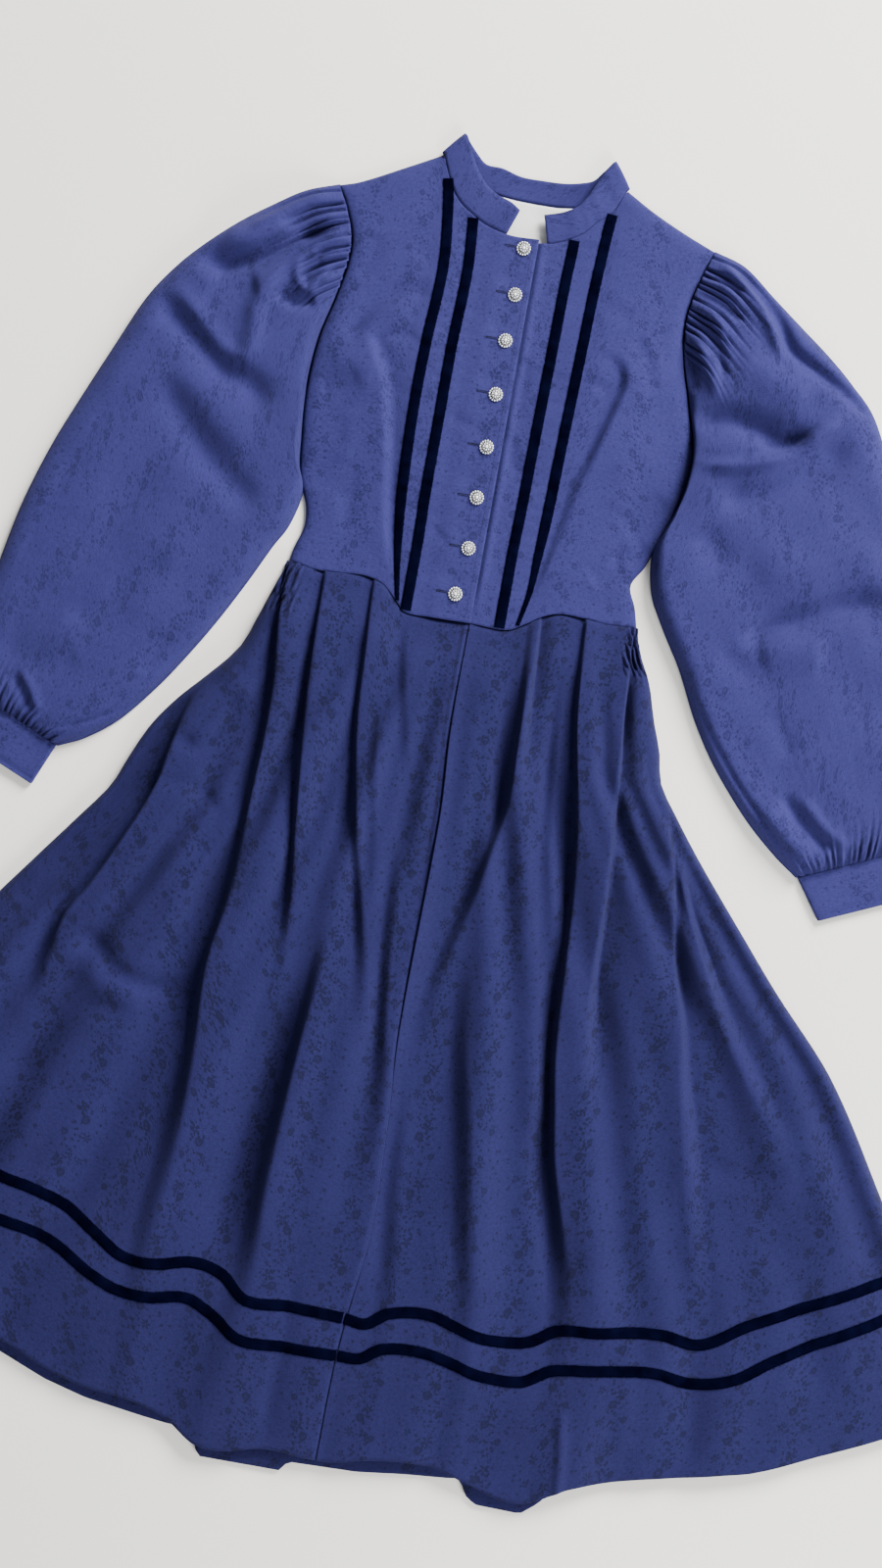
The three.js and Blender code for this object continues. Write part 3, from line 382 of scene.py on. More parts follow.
# The sleeves: the outer edge beside the bodice, then both edges down to the cuff.
CAP = {
    "right": [(-200, 400), (-232, 389), (-262, 369), (-291, 347), (-320, 320)],
    "left": [(174, 400), (205, 391), (237, 367), (269, 343), (300, 320)],
}
ARM = {
    "right": numbers("""
        -190 67 -343 294 | -203 42 -366 259 | -222 2 -389 206 | -244 -40 -412 151 | -266 -77 -432 100
        -290 -113 -450 40 | -320 -150 -462 -20 | -350 -174 -474 -85 | -376 -187 -477 -144
    """),
    "left": numbers("""
        171 64 328 296 | 187 33 356 266 | 212 -7 385 206 | 234 -50 408 151 | 256 -85 428 100
        280 -115 446 40 | 307 -144 458 -20 | 336 -169 468 -80 | 360 -186 460 -141
    """),
}
CUFF = {"right": (-17, -41), "left": (27, -38)}
SLEEVE_RISE = Table(
    "at rise gather",
    """
    0 4 2.6 | 0.05 12 3.0 | 0.1 16 1.8 | 0.15 18 0.6 | 0.22 19 0 | 0.4 18 0 | 0.6 15 0 | 0.9 12 0
    0.96 10.5 0.8 | 0.985 8.5 2.2 | 1 3.5 2.0
    """,
)
BUTTONS = numbers("""
    -12 370 | -12.3 324 | -13.7 278 | -13.7 225 | -13.3 173 | -14 123 | -13.3 73 | -18 27
""")

# --- shapes of the cloth --------------------------------------------------------------------------


def lerp(a, b, t):
    return a + (b - a) * t


def smoothstep(value, low, high):
    t = np.clip((value - low) / (high - low), 0, 1)
    return t * t * (3 - 2 * t)


def roll(distance, width):
    """A quarter round: 0 at an edge, 1 once `width` away from it."""
    left = 1 - np.clip(distance / width, 0, 1)
    return np.sqrt(1 - left * left)


def reach_along(line):
    """How far along a line each of its points lies."""
    return np.concatenate([[0], np.cumsum(np.linalg.norm(np.diff(line, axis=0), axis=1))])


def resample(line, count):
    """Points at even steps along a line."""
    length = reach_along(line)
    at = np.linspace(0, length[-1], count)
    return np.stack([np.interp(at, length, line[:, n]) for n in range(line.shape[1])], axis=1)


def smooth_line(line, count=120):
    """A smooth curve through points."""
    length = reach_along(line)
    track = Table("at x y", np.column_stack([length, line]))
    at = np.linspace(0, length[-1], count)
    return np.stack([track.read("x", at), track.read("y", at)], axis=1)


FOLD_STEPS = 24
FOLD_FADE = 0.2  # share of its length over which a fold dies away at either end


def fold_height(name, x, y):
    """The sum of the named folds at each point."""
    total = np.zeros(np.shape(x))
    for right, left, rise, *path in numbers(FOLDS[name]):
        line = smooth_line(np.reshape(path, (-1, 2)), FOLD_STEPS + 1)
        nearest = np.full(np.shape(x), np.inf)
        where = np.zeros(np.shape(x))
        side = np.zeros(np.shape(x))
        for k in range(FOLD_STEPS):
            (ax, ay), (bx, by) = line[k], line[k + 1]
            dx, dy = bx - ax, by - ay
            s = np.clip(((x - ax) * dx + (y - ay) * dy) / (dx * dx + dy * dy), 0, 1)
            d = np.hypot(x - ax - dx * s, y - ay - dy * s)
            closer = d < nearest
            nearest = np.where(closer, d, nearest)
            where = np.where(closer, (k + s) / FOLD_STEPS, where)
            side = np.where(closer, dx * (y - ay) - dy * (x - ax), side)
        wide = np.where(side > 0, left, right)
        fade = smoothstep(where, 0, FOLD_FADE) * smoothstep(1 - where, 0, FOLD_FADE)
        total += fade * rise * bell(nearest, wide)
    return total


PLEAT_EDGE = 4  # half the width of a pleat's edge at the waist
PLEAT_OPENS = 0.014  # and how much it widens with the distance from there
PLEAT_DEPTH = 1.5  # the skirt's pleats, over their rows' own heights
PLEAT_SPREAD = 1.5  # and over their widths


def pleats(name, x, y):
    """How high the named pleats raise each point, and how far they push it aside."""
    raised, aside = np.zeros(np.shape(x)), np.zeros(np.shape(x))
    for rows in PLEATS[name].split("\n\n"):
        pleat = Table(PLEAT, rows)
        at = {column: pleat.read(column, y) for column in PLEAT.split()[1:]}
        lean = (pleat.read("x", y + 1) - pleat.read("x", y - 1)) / 2
        off = (x - at["x"]) / np.sqrt(1 + lean * lean)
        # A fold that leans over has the sharper edge.
        soft = (PLEAT_EDGE + PLEAT_OPENS * np.abs(y)) / (1 + 0.5 * at["lip"])
        over = smoothstep(off, -soft, soft)
        before = at["before"] * bell(off, PLEAT_SPREAD * at["wide"])
        after = at["after"] * bell(off, PLEAT_SPREAD * at["broad"])
        raised += lerp(before, after, over)
        side = np.where(at["after"] > at["before"], 1, -1)
        aside -= side * at["lip"] * bell(off - side * soft, 2 * soft)
    return raised, aside


def settled(height):
    """Height above what lies below, eased off where a trough would reach it."""
    return np.where(height > LEAST, height, LEAST * np.exp(np.minimum(height, LEAST) / LEAST - 1))


def bell(off, width):
    """1 in the middle, dying away over a width on both sides."""
    return np.exp(-((off / width) ** 2))


def waves(x, y, size, amount, seed):
    """Slow, uneven waves in the cloth."""
    rng = np.random.default_rng(seed)
    total = np.zeros(np.shape(x))
    for _ in range(7):
        angle = rng.uniform(0, math.pi)
        length = size * rng.uniform(0.7, 1.6)
        phase = rng.uniform(0, 2 * math.pi)
        total += np.sin((x * math.cos(angle) + y * math.sin(angle)) * 2 * math.pi / length + phase)
    return total * amount / 7


def crossing(column, row):
    """Points where lines x = column(y) cross lines y = row(x)."""
    y = row(column(0.0))
    for _ in range(30):
        y = row(column(y))
    return column(y), y


def under_shoulder(hand, x):
    """Whether a point of a front lies below the shoulder seam, and not below the neckline."""
    return x < SHOULDER["right"].key[-1] if hand == "right" else x > SHOULDER["left"].key[0]


def neck_top(hand, x):
    return np.where(under_shoulder(hand, x), SHOULDER[hand].read("y", x), NECK[hand].read("y", x))


BODICE_FOLDS = 0.75  # the bodice's folds, over their rows' own heights


def bodice_height(hand, x, y):
    """Underside of a front, before the button band laps over the other one."""
    from_side = np.abs(x - BODICE_SIDES.read(hand, y))
    from_top = np.where(under_shoulder(hand, x), neck_top(hand, x) - y, EDGE_ROLL)
    edge = roll(from_side, EDGE_ROLL) * roll(from_top, EDGE_ROLL)
    up = smoothstep(y - WAIST.read("y", x), 0, BODICE_EASE)
    bust = sum(
        np.exp(-((x - bx) ** 2 + ((y - by) / BUST_STRETCH) ** 2) / BUST_REACH**2) for bx, by in BUSTS
    )
    rise = lerp(WAIST_RISE, BODICE_RISE + BUST_RISE * bust, up)
    small = waves(x, y, 70, 1.2, SEED) + waves(x, y, 24, 0.2, SEED + 1) + puckers(x, y)
    folds = BODICE_FOLDS * fold_height("bodice", x, y) + pleats("bodice" + hand.title(), x, y)[0]
    if hand == "left":
        # The band's edge presses a groove, and the cloth swells beside it.
        small = small + 1.8 * bell(x - BAND_EDGE - 5, 3.4)
        small = small - 1.8 * bell(x - BAND_EDGE, 1.8)
    return REST + edge * settled(rise + up * (folds + small))


BAND_FOLD = (-52, -31)


def band_lift(hand, x):
    """The right front climbs onto the left one between these two places."""
    return (CLOTH + 2 * GAP) * smoothstep(x, *BAND_FOLD) if hand == "right" else 0


DENT = {"across": 13, "up": 8, "depth": 1.5, "above": 15, "beside": -8}


def puckers(x, y):
    """The dimple above each button and the small ripples where ribbon is sewn on."""
    total = np.zeros(np.shape(x))
    for bx, by in BUTTONS:
        across = (x - bx - DENT["beside"]) / DENT["across"]
        up = (y - by - DENT["above"]) / DENT["up"]
        total -= DENT["depth"] * np.exp(-(across**2) - up**2)
    for name in ("rightOuter", "rightInner", "leftInner", "leftOuter"):
        away = (x - BODICE_RIBBONS.read(name, y)) / RIBBON
        turn = len(name) + x / 60
        slow = np.sin(y / 7.3 + turn) + 0.7 * np.sin(y / 4.1 + 2 * turn)
        fine = np.sin(y / 1.9 + 3 * turn + np.sin(y / 11)) * (0.6 + 0.4 * np.sin(y / 23 + turn))
        total += (0.28 * slow + 0.3 * fine) * bell(away, 1.5)
    return total


def skirt_height(hand, x, y):
    edge = roll(np.abs(x - SKIRT_SIDES.read(hand, y)), SKIRT_ROLL)
    below = WAIST.read("y", x) - y
    over_hem = y - SKIRT_LEVELS.read("hem", x)
    rise = lerp(WAIST_RISE, SKIRT_RISE, smoothstep(below, 0, SKIRT_EASE))
    fuller = lerp(HEM_SHARE, 1, smoothstep(over_hem, 0, HEM_EASE))
    small = smoothstep(below, 0, 60) * (waves(x, y, 90, 2.2, SEED + 2) + waves(x, y, 30, 0.3, SEED + 3))
    folds = fold_height("skirt" + hand.title(), x, y) + fly_height(hand, x, y)
    # The pleats flatten towards the hem, and the waist seam sinks in.
    lower = 1 - 0.6 * smoothstep(-y, 600, 730)
    folds = folds + PLEAT_DEPTH * lower * pleats("skirt" + hand.title(), x, y)[0] + flutes(hand, x, y)
    folds = folds - 2 * bell(below, 3)
    shirred = np.minimum(1, 3 * edge) * side_shirring(hand, x, y)
    return REST + edge * settled(rise * fuller + folds + small) + shirred


FLY_BOTTOM = -217  # y of the fly's foot
FLY_WELT = 3.2  # from the seam to the middle of the welt beside it
SEAM_WIDTH = 2.6


def fly_height(hand, x, y):
    """The centre seam: on the right a groove with the fly's welt beside it, on the left a low ridge."""
    from_seam = x - CENTRE_SEAM.read("x", y)
    if hand == "left":
        return 0.9 * bell(from_seam, 6)
    opening = smoothstep(y, FLY_BOTTOM - 4, FLY_BOTTOM + 4)
    welt = 1.2 * bell(from_seam + FLY_WELT, SEAM_WIDTH)
    return opening * welt - 1.6 * bell(from_seam, SEAM_WIDTH)


FLUTES = 9
FLUTES_ACROSS = (3, 12)  # how many waves of one kind fit across a front


def flutes(hand, x, y):
    """Slight upright waves that fan out with the skirt, weaker at the waist and at the hem."""
    rng = np.random.default_rng(SEED + len(hand))
    share = np.abs(x / SKIRT_SIDES.read(hand, y))
    total = np.zeros(np.shape(x))
    for _ in range(FLUTES):
        count = rng.uniform(*FLUTES_ACROSS)
        wave = share * count + rng.uniform(-0.8, 0.8) * y / 500 + rng.uniform(0, 1)
        total += np.sin(wave * 2 * math.pi) * 5 / count
    return total * (1.5 * smoothstep(-y, 0, 200) * (1 - 0.6 * smoothstep(-y, 560, 700)))


SHIRRED = {"right": (-170, -186), "left": (154, 169)}  # x where the shirring starts and where it ends
SHIRR_DEPTH = 3.2
SHIRR_PITCH = 5.6


def side_shirring(hand, x, y):
    """Small upright puckers where the side of the skirt is drawn in, just below the waist."""
    inner, outer = SHIRRED[hand]
    across = (x - inner) / (outer - inner)
    place = smoothstep(across, -0.2, 0.2) * smoothstep(y, -26, -12)
    wander = 1.2 * np.sin(y / 4.1) + 0.8 * np.sin(y / 2.3 + 1)
    return place * (SHIRR_DEPTH * np.sin((x + wander) * 2 * math.pi / SHIRR_PITCH) + 1.0)


# --- meshes ---------------------------------------------------------------------------------------


def store(name, points, faces, material, uv=None):
    """A mesh object from points in millimetres, with smooth faces. Quads come as one array."""
    mesh = bpy.data.meshes.new(name)
    points = np.asarray(points) * MM
    if isinstance(faces, np.ndarray):
        mesh.vertices.add(len(points))
        mesh.vertices.foreach_set("co", points.ravel())
        mesh.loops.add(faces.size)
        mesh.loops.foreach_set("vertex_index", faces.ravel().astype(np.int32))
        mesh.polygons.add(len(faces))
        mesh.polygons.foreach_set("loop_start", np.arange(len(faces), dtype=np.int32) * 4)
        mesh.update(calc_edges=True)
    else:
        mesh.from_pydata(points.tolist(), [], [list(map(int, f)) for f in faces])
    mesh.validate()
    mesh.polygons.foreach_set("use_smooth", [True] * len(mesh.polygons))
    if uv is not None:
        layer = mesh.uv_layers.new(name="cut")
        corners = np.empty(len(mesh.loops), dtype=np.int32)
        mesh.loops.foreach_get("vertex_index", corners)
        layer.data.foreach_set("uv", (np.asarray(uv)[corners] * MM).ravel())
    mesh.materials.append(material)
    piece = bpy.data.objects.new(name, mesh)
    bpy.context.scene.collection.objects.link(piece)
    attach(piece, "root")
    return piece


def facing_out(points, quads):
    """The quads of a closed mesh, all turned over if they enclose less than nothing."""
    a, b, c, d = (points[quads[:, n]] for n in range(4))
    volume = (np.cross(b - a, c - a) * a).sum() + (np.cross(c - a, d - a) * a).sum()
    return quads if volume > 0 else quads[:, ::-1]


def grid_faces(index, closed=False):
    """Quads between the points of a grid. A closed one joins its last column to its first."""
    if closed:
        index = np.concatenate([index, index[:, :1]], axis=1)
    a, b = index[:-1], index[1:]
    return np.stack([a[:, :-1], a[:, 1:], b[:, 1:], b[:, :-1]], axis=2).reshape(-1, 4)


def grid_normals(points, closed=False):
    if closed:
        across = np.roll(points, -1, axis=1) - np.roll(points, 1, axis=1)
    else:
        across = np.gradient(points, axis=1)
    along = np.gradient(points, axis=0)
    normal = np.cross(across, along)
    return normal / np.maximum(np.linalg.norm(normal, axis=2, keepdims=True), 1e-9)


def arc_lengths(points):
    """Cut coordinates: the length along each row, and along each column."""
    across = np.linalg.norm(np.diff(points, axis=1), axis=2)
    along = np.linalg.norm(np.diff(points, axis=0), axis=2)
    u = np.concatenate([np.zeros((points.shape[0], 1)), np.cumsum(across, axis=1)], axis=1)
    v = np.concatenate([np.zeros((1, points.shape[1])), np.cumsum(along, axis=0)], axis=0)
    return np.stack([u, v], axis=2)


EDGE_BULGE = 0.35  # a cut edge rounds out by this share of the thickness


def shell(name, outer, material, thickness=SHELL, closed=False, shift=(0, 0)):
    """Cloth under a grid of points on its outer face. A closed one joins its last column to its first."""
    outer = np.asarray(outer, dtype=float)
    rows, columns = outer.shape[:2]
    normal = grid_normals(outer, closed)
    if not closed and normal[:, :, 2].mean() < 0:
        normal = -normal
    if closed:
        centre = outer.mean(axis=1, keepdims=True)
        if ((outer - centre) * normal).sum(axis=2).mean() < 0:
            normal = -normal
    inner = outer - normal * thickness
    uv = (arc_lengths(outer) + np.asarray(shift)).reshape(-1, 2)
    points = [outer.reshape(-1, 3), inner.reshape(-1, 3)]
    cut = [uv, uv]
    index = np.arange(rows * columns).reshape(rows, columns)
    faces = grid_faces(index, closed)
    faces = [faces, (faces + rows * columns)[:, ::-1]]
    # The rim: one more line of points half way down, standing out a little.
    if closed:
        loops = [(index[0], outer[0] - outer[1]), (index[-1][::-1], (outer[-1] - outer[-2])[::-1])]
    else:
        ring = np.concatenate([index[0, :-1], index[:-1, -1], index[-1, :0:-1], index[:0:-1, 0]])
        away = np.zeros_like(outer)
        away[0] += outer[0] - outer[1]
        away[-1] += outer[-1] - outer[-2]
        away[:, 0] += outer[:, 0] - outer[:, 1]
        away[:, -1] += outer[:, -1] - outer[:, -2]
        loops = [(ring, away.reshape(-1, 3)[ring])]
    start = 2 * rows * columns
    for ring, away in loops:
        away = away / np.maximum(np.linalg.norm(away, axis=1, keepdims=True), 1e-9)
        points.append((points[0][ring] + points[1][ring]) / 2 + away * thickness * EDGE_BULGE)
        cut.append(cut[0][ring])
        k = start + np.arange(len(ring))
        n = np.roll(k, -1)
        after = np.roll(ring, -1)
        faces.append(np.stack([after, ring, k, n], axis=1))
        faces.append(np.stack([n, k, ring + rows * columns, after + rows * columns], axis=1))
        start += len(ring)
    points, faces = np.concatenate(points), np.concatenate(faces)
    points[:, 2] = np.maximum(points[:, 2], LOWEST)
    return store(name, points, facing_out(points, faces), material, np.concatenate(cut))


def tube(name, rings, material, uv=None):
    """A solid strip from closed rings of points. Its first and last rings have flat ends."""
    count, around = rings.shape[:2]
    index = np.arange(count * around).reshape(count, around)
    faces = [grid_faces(index, True)]
    half = around // 2
    for ring in (index[0][::-1], index[-1]):
        k = np.arange(half - 1)
        faces.append(np.stack([ring[k], ring[k + 1], ring[around - 2 - k], ring[around - 1 - k]], axis=1))
    points, faces = rings.reshape(-1, 3), np.concatenate(faces)
    points[:, 2] = np.maximum(points[:, 2], LOWEST)
    return store(name, points, facing_out(points, faces), material, uv)


def joined(name, parts, material):
    """One mesh from many small ones, each (points, faces)."""
    points, faces, start = [], [], 0
    for some, own in parts:
        points.append(some)
        faces.extend(tuple(i + start for i in f) for f in own)
        start += len(some)
    return store(name, np.concatenate(points), faces, material)


def dome(radius, height, sides, rings):
    """A half ellipsoid with a flat base, about its own axis."""
    points = [(0.0, 0.0, height)]
    for r in range(1, rings + 1):
        angle = math.pi / 2 * r / rings
        out, up = radius * math.sin(angle), height * math.cos(angle)
        turns = [2 * math.pi * k / sides for k in range(sides)]
        points += [(out * math.cos(turn), out * math.sin(turn), up) for turn in turns]
    faces = [(0, 1 + k, 1 + (k + 1) % sides) for k in range(sides)]
    for r in range(rings - 1):
        a, b = 1 + r * sides, 1 + (r + 1) * sides
        faces += [(a + k, b + k, b + (k + 1) % sides, a + (k + 1) % sides) for k in range(sides)]
    bottom = 1 + (rings - 1) * sides
    faces.append(tuple(bottom + k for k in reversed(range(sides))))
    return np.array(points), faces


# --- materials ------------------------------------------------------------------------------------


class Wire:
    """A socket's value, which sums like a number by adding Math nodes."""

    def __init__(self, tree, socket):
        self.tree, self.socket = tree, socket

    def math(self, operation, *others, clamp=False):
        node = self.tree.nodes.new("ShaderNodeMath")
        node.operation = operation
        node.use_clamp = clamp
        for slot, value in zip(node.inputs, (self, *others)):
            plug(self.tree, slot, value)
        return Wire(self.tree, node.outputs[0])

    def clamped(self):
        """The value, kept between 0 and 1."""
        return self.math("ADD", 0, clamp=True)

    def __add__(self, other):
        return self.math("ADD", other)

    def __sub__(self, other):
        return self.math("SUBTRACT", other)

    def __mul__(self, other):
        return self.math("MULTIPLY", other)

    def __truediv__(self, other):
        return self.math("DIVIDE", other)

    def below(self, edge, soft):
        """1 where the value is under the edge, 0 over it, with a soft step."""
        return ((self * -1 + edge) * (1 / soft) + 0.5).clamped()


def plug(tree, socket, value):
    """Links a wire to a socket, or sets the socket's own value."""
    if isinstance(value, Wire):
        tree.links.new(value.socket, socket)
    else:
        socket.default_value = value


class Surface:
    """A material on one Principled shader."""

    def __init__(self, name, colour, roughness, **settings):
        self.material = bpy.data.materials.new(name)
        self.material.use_nodes = True
        self.tree = self.material.node_tree
        self.shader = self.tree.nodes["Principled BSDF"]
        self.set("Base Color", (*colour, 1))
        self.set("Roughness", roughness)
        for key, value in settings.items():
            self.set(key.replace("_", " "), value)

    def set(self, name, value):
        plug(self.tree, self.shader.inputs[name], value)

    def add(self, kind, **inputs):
        node = self.tree.nodes.new(kind)
        for name, value in inputs.items():
            plug(self.tree, node.inputs[name], value)
        return node

    def out(self, node, name):
        return Wire(self.tree, node.outputs[name])

    def cut_coordinates(self):
        """The cut's own coordinates, in millimetres."""
        split = self.add("ShaderNodeSeparateXYZ", Vector=self.out(self.add("ShaderNodeUVMap"), "UV"))
        return self.out(split, "X") / MM, self.out(split, "Y") / MM

    def place(self):
        """The object's own coordinates, in metres."""
        return self.out(self.add("ShaderNodeTexCoord"), "Object")

    def vector(self, x, y):
        return self.out(self.add("ShaderNodeCombineXYZ", X=x, Y=y), "Vector")

    def noise(self, vector, scale, detail=2.0, roughness=0.5):
        inputs = {"Vector": vector, "Scale": scale, "Detail": detail, "Roughness": roughness}
        return self.out(self.add("ShaderNodeTexNoise", **inputs), "Fac")

    def tint(self, low, high, share):
        """Colours the surface between two colours."""
        node = self.tree.nodes.new("ShaderNodeMix")
        node.data_type = "RGBA"
        share_socket, low_socket, high_socket = (node.inputs[n] for n in (0, 6, 7))
        plug(self.tree, share_socket, share)
        low_socket.default_value = (*low, 1)
        high_socket.default_value = (*high, 1)
        self.set("Base Color", Wire(self.tree, node.outputs[2]))

    def bump(self, height, distance, strength=1.0):
        node = self.add("ShaderNodeBump", Height=height, Distance=distance, Strength=strength)
        self.set("Normal", self.out(node, "Normal"))


STRIPE = 62  # width of one stripe of the jacquard
REPEAT = 56  # from one rose to the next along a stripe


def rose_pattern(surface, u, v):
    """The jacquard's roses, leaves, sprigs and dots: 1 on the figure, 0 on the ground."""
    stripe = (u / STRIPE).math("FLOOR")
    x = (u / STRIPE - stripe) * STRIPE - STRIPE / 2
    along = v / REPEAT + stripe * 0.5
    y = (along - along.math("FLOOR")) * REPEAT - REPEAT / 2
    wander = surface.noise(surface.vector(u, v), 0.12)

    def polar(cx, cy):
        px, py = x - cx, y - cy
        return (px * px + py * py).math("SQRT"), py.math("ARCTAN2", px)

    def rose(cx, cy, radius):
        r, turn = polar(cx, cy)
        rings = (r * (9.0 / radius) + (turn * 3.0).math("SINE") * 0.9 + wander * 4.0).math("SINE")
        return r.below(radius, 1.2) * (rings * 0.5 + 0.75).clamped()

    def sprig(cx, cy, radius, leaves):
        r, turn = polar(cx, cy)
        reach = (turn * (leaves / 2) + wander * 5.0).math("COSINE").math("ABSOLUTE") * radius
        return (r - reach).below(-0.6, 1.4) * r.math("SUBTRACT", 0.9).math("GREATER_THAN", 0.0)

    figure = rose(-2, 0, 4.7) + rose(13, 19, 3.6)
    figure = figure + sprig(5, -9, 6.5, 5) + sprig(-11, 15, 5.5, 6) + sprig(-15, -18, 4.5, 5)
    trail = (x - wander * 14 + 5).math("ABSOLUTE").below(9, 7)
    for apart, size, share in ((4.2, 0.34, trail), (7.0, 0.2, 1.0)):
        inputs = {"Vector": surface.vector(u, v), "Scale": 1 / apart, "Randomness": 0.9}
        dots = surface.add("ShaderNodeTexVoronoi", **inputs)
        figure = figure + surface.out(dots, "Distance").below(size, 0.14) * share
    return figure.clamped()


THREAD_PITCH = 0.9  # warp and weft cross this often


def plain_weave(u, v, pitch):
    return (u * (2 * math.pi / pitch)).math("SINE") * (v * (2 * math.pi / pitch)).math("SINE")


def jacquard(name, light, dark, figured):
    """Wool in two tones. The figure is darker by `figured`, over threads, specks and faded patches."""
    surface = Surface(
        name,
        light,
        0.82,
        Specular_IOR_Level=0.12,
        Sheen_Weight=0.03,
        Sheen_Roughness=0.5,
        Sheen_Tint=(0.5, 0.55, 1.0, 1),
    )
    u, v = surface.cut_coordinates()
    figure = rose_pattern(surface, u, v)
    cloth = surface.vector(u, v)
    faded = surface.noise(cloth, 0.02, 3.0)
    thread = surface.noise(surface.vector(u, v * 0.55), 1.1, 2.0, 0.7)
    speck = surface.noise(surface.vector(u * 0.8, v), 0.33, 3.0, 0.8)
    weave = plain_weave(u, v, THREAD_PITCH)
    tone = (thread - 0.5) * 1.2 + (speck - 0.5) * 1.5 + (faded - 0.5) * 0.35 + weave * 0.06
    surface.tint(light, dark, (figure * figured - tone * 1.3 + 0.22).clamped())
    surface.set("Roughness", (figure * -0.12 + 0.82).clamped())
    relief = weave * 0.35 + thread * 0.5 + speck * 0.5 - figure * 0.35
    surface.bump(relief, 0.0008, 0.7)
    return surface.material


def velvet_material():
    surface = Surface(
        "velvet",
        (0.001, 0.001, 0.006),
        0.95,
        Specular_IOR_Level=0.0,
        Sheen_Weight=0.012,
        Sheen_Roughness=0.3,
        Sheen_Tint=(0.05, 0.09, 0.3, 1),
    )
    place = surface.place()
    pile = surface.noise(place, 900.0, 3.0, 0.7)
    crush = surface.noise(place, 60.0, 3.0)
    share = ((crush - 0.5) * 1.6 + pile * 0.6).clamped()
    surface.tint((0.0006, 0.0006, 0.004), (0.002, 0.0024, 0.014), share)
    surface.bump(pile, 0.0005, 0.8)
    return surface.material


def cotton_material():
    surface = Surface("lining_cotton", (0.8, 0.8, 0.78), 0.85, Specular_IOR_Level=0.2)
    u, v = surface.cut_coordinates()
    weave = plain_weave(u, v, 0.7)
    slub = surface.noise(surface.vector(u * 0.3, v), 0.8, 3.0)
    surface.tint((0.78, 0.78, 0.76), (0.66, 0.66, 0.65), (slub + weave * 0.1).clamped())
    surface.bump(weave * 0.5 + slub, 0.0001, 0.6)
    return surface.material


def mottled(name, low, high, roughness, scale, detail, **settings):
    """A surface whose colour wanders between two, and the noise that it follows."""
    surface = Surface(name, high, roughness, **settings)
    grain = surface.noise(surface.place(), scale, detail)
    surface.tint(low, high, grain)
    return surface, grain


def metal_material(name, low, high, roughness):
    surface, tarnish = mottled(name, low, high, roughness, 700.0, 3.0, Metallic=0.4)
    surface.set("Roughness", (tarnish * -0.2 + roughness + 0.1).clamped())
    return surface.material


def stone_material():
    shine = {"Specular_IOR_Level": 0.9, "Coat_Weight": 1.0}
    return mottled("clear_stone", (0.86, 0.88, 0.92), (1.0, 1.0, 1.0), 0.08, 1400.0, 2.0, **shine)[0].material


def thread_material():
    dull, dark, light = {"Specular_IOR_Level": 0.2}, (0.002, 0.0024, 0.011), (0.006, 0.007, 0.028)
    surface, twist = mottled("thread", dark, light, 0.7, 1500.0, 2.0, **dull)
    surface.bump(twist, 0.0002, 0.6)
    return surface.material


def floor_material():
    low, high = (0.88, 0.85, 0.79), (0.915, 0.89, 0.84)
    return mottled("pale_floor", low, high, 0.9, 3.0, 4.0, Specular_IOR_Level=0.1)[0].material


CLOTH_BLUE = jacquard("wool_jacquard", (0.0322, 0.0304, 0.141), (0.0142, 0.014, 0.073), 0.66)
# The skirt is the same wool as the rest of the dress. This darker copy of it is painted shade, for the skirt
# lying in less light than the bodice.
SHADED_SKIRT_BLUE = jacquard("skirt_jacquard_painted_shade", (0.0145, 0.0142, 0.0765), (0.0054, 0.0056, 0.033), 1.05)
VELVET = velvet_material()
COTTON = cotton_material()
SILVER = metal_material("silver", (0.72, 0.73, 0.76), (0.98, 0.98, 1.0), 0.22)
DARK_SILVER = metal_material("dark_silver", (0.03, 0.03, 0.035), (0.1, 0.1, 0.11), 0.5)
STONE = stone_material()
THREAD = thread_material()

# --- bodice ---------------------------------------------------------------------------------------


def ribbon_edge(name, away, side, y):
    width = RIBBON * (BODICE_RIBBONS.read("width", y) if name.endswith("Outer") else 1)
    return BODICE_RIBBONS.read(name, y) + away * side * width / 2


BESIDE_RIBBON = 2.5
BODICE_ROWS = 165
NECK_COLUMN = 43  # the column through the neck point, with as many again up to the side


def bodice_points(hand, centre):
    """Points on the top face of a front, with a column through the neck point."""
    away = AWAY[hand]
    outer = hand + "Outer"

    def neck_line(y):
        return ribbon_edge(outer, away, 1, y) + away * BESIDE_RIBBON

    near = np.linspace(0, 1, NECK_COLUMN + 1)
    share = np.concatenate([near, 1 + near[1:]])[None, :]
    up = np.linspace(0, 1, BODICE_ROWS)[:, None]

    def column(y):
        inside = lerp(centre, neck_line(y), np.clip(share, 0, 1))
        return np.where(share <= 1, inside, lerp(neck_line(y), BODICE_SIDES.read(hand, y), share - 1))

    x, y = crossing(column, lambda x: lerp(WAIST.read("y", x), neck_top(hand, x), up))
    return np.stack([x, y, bodice_top(hand, x, y)], axis=2)


def bodice_top(hand, x, y):
    """The top face of a front at a point."""
    return bodice_height(hand, x, y) + CLOTH + band_lift(hand, x)


def plan_area(points):
    """Flat area of a cut, in square metres, from the lengths along its rows and columns."""
    across = np.diff(points, axis=1)[:-1]
    along = np.diff(points, axis=0)[:, :-1]
    return float(np.linalg.norm(np.cross(across, along), axis=2).sum()) * MM * MM


def lay(nodes, points, size, area=None):
    """Hides the CAD parts that a sheet stands for, and works out the size and area of its cut, which go no
    further. The size comes in millimetres.
    """
    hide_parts(*nodes)
    width, length = (s * MM for s in size)
    area = min(plan_area(points) if area is None else area, width * length)


def extent(points):
    """Width and length of the box round a cut, in millimetres, with room for its folds."""
    cut = arc_lengths(points)
    width = max(np.ptp(points[:, :, 0]), cut[:, :, 0].max())
    return width, max(np.ptp(points[:, :, 1]), cut[:, :, 1].max())


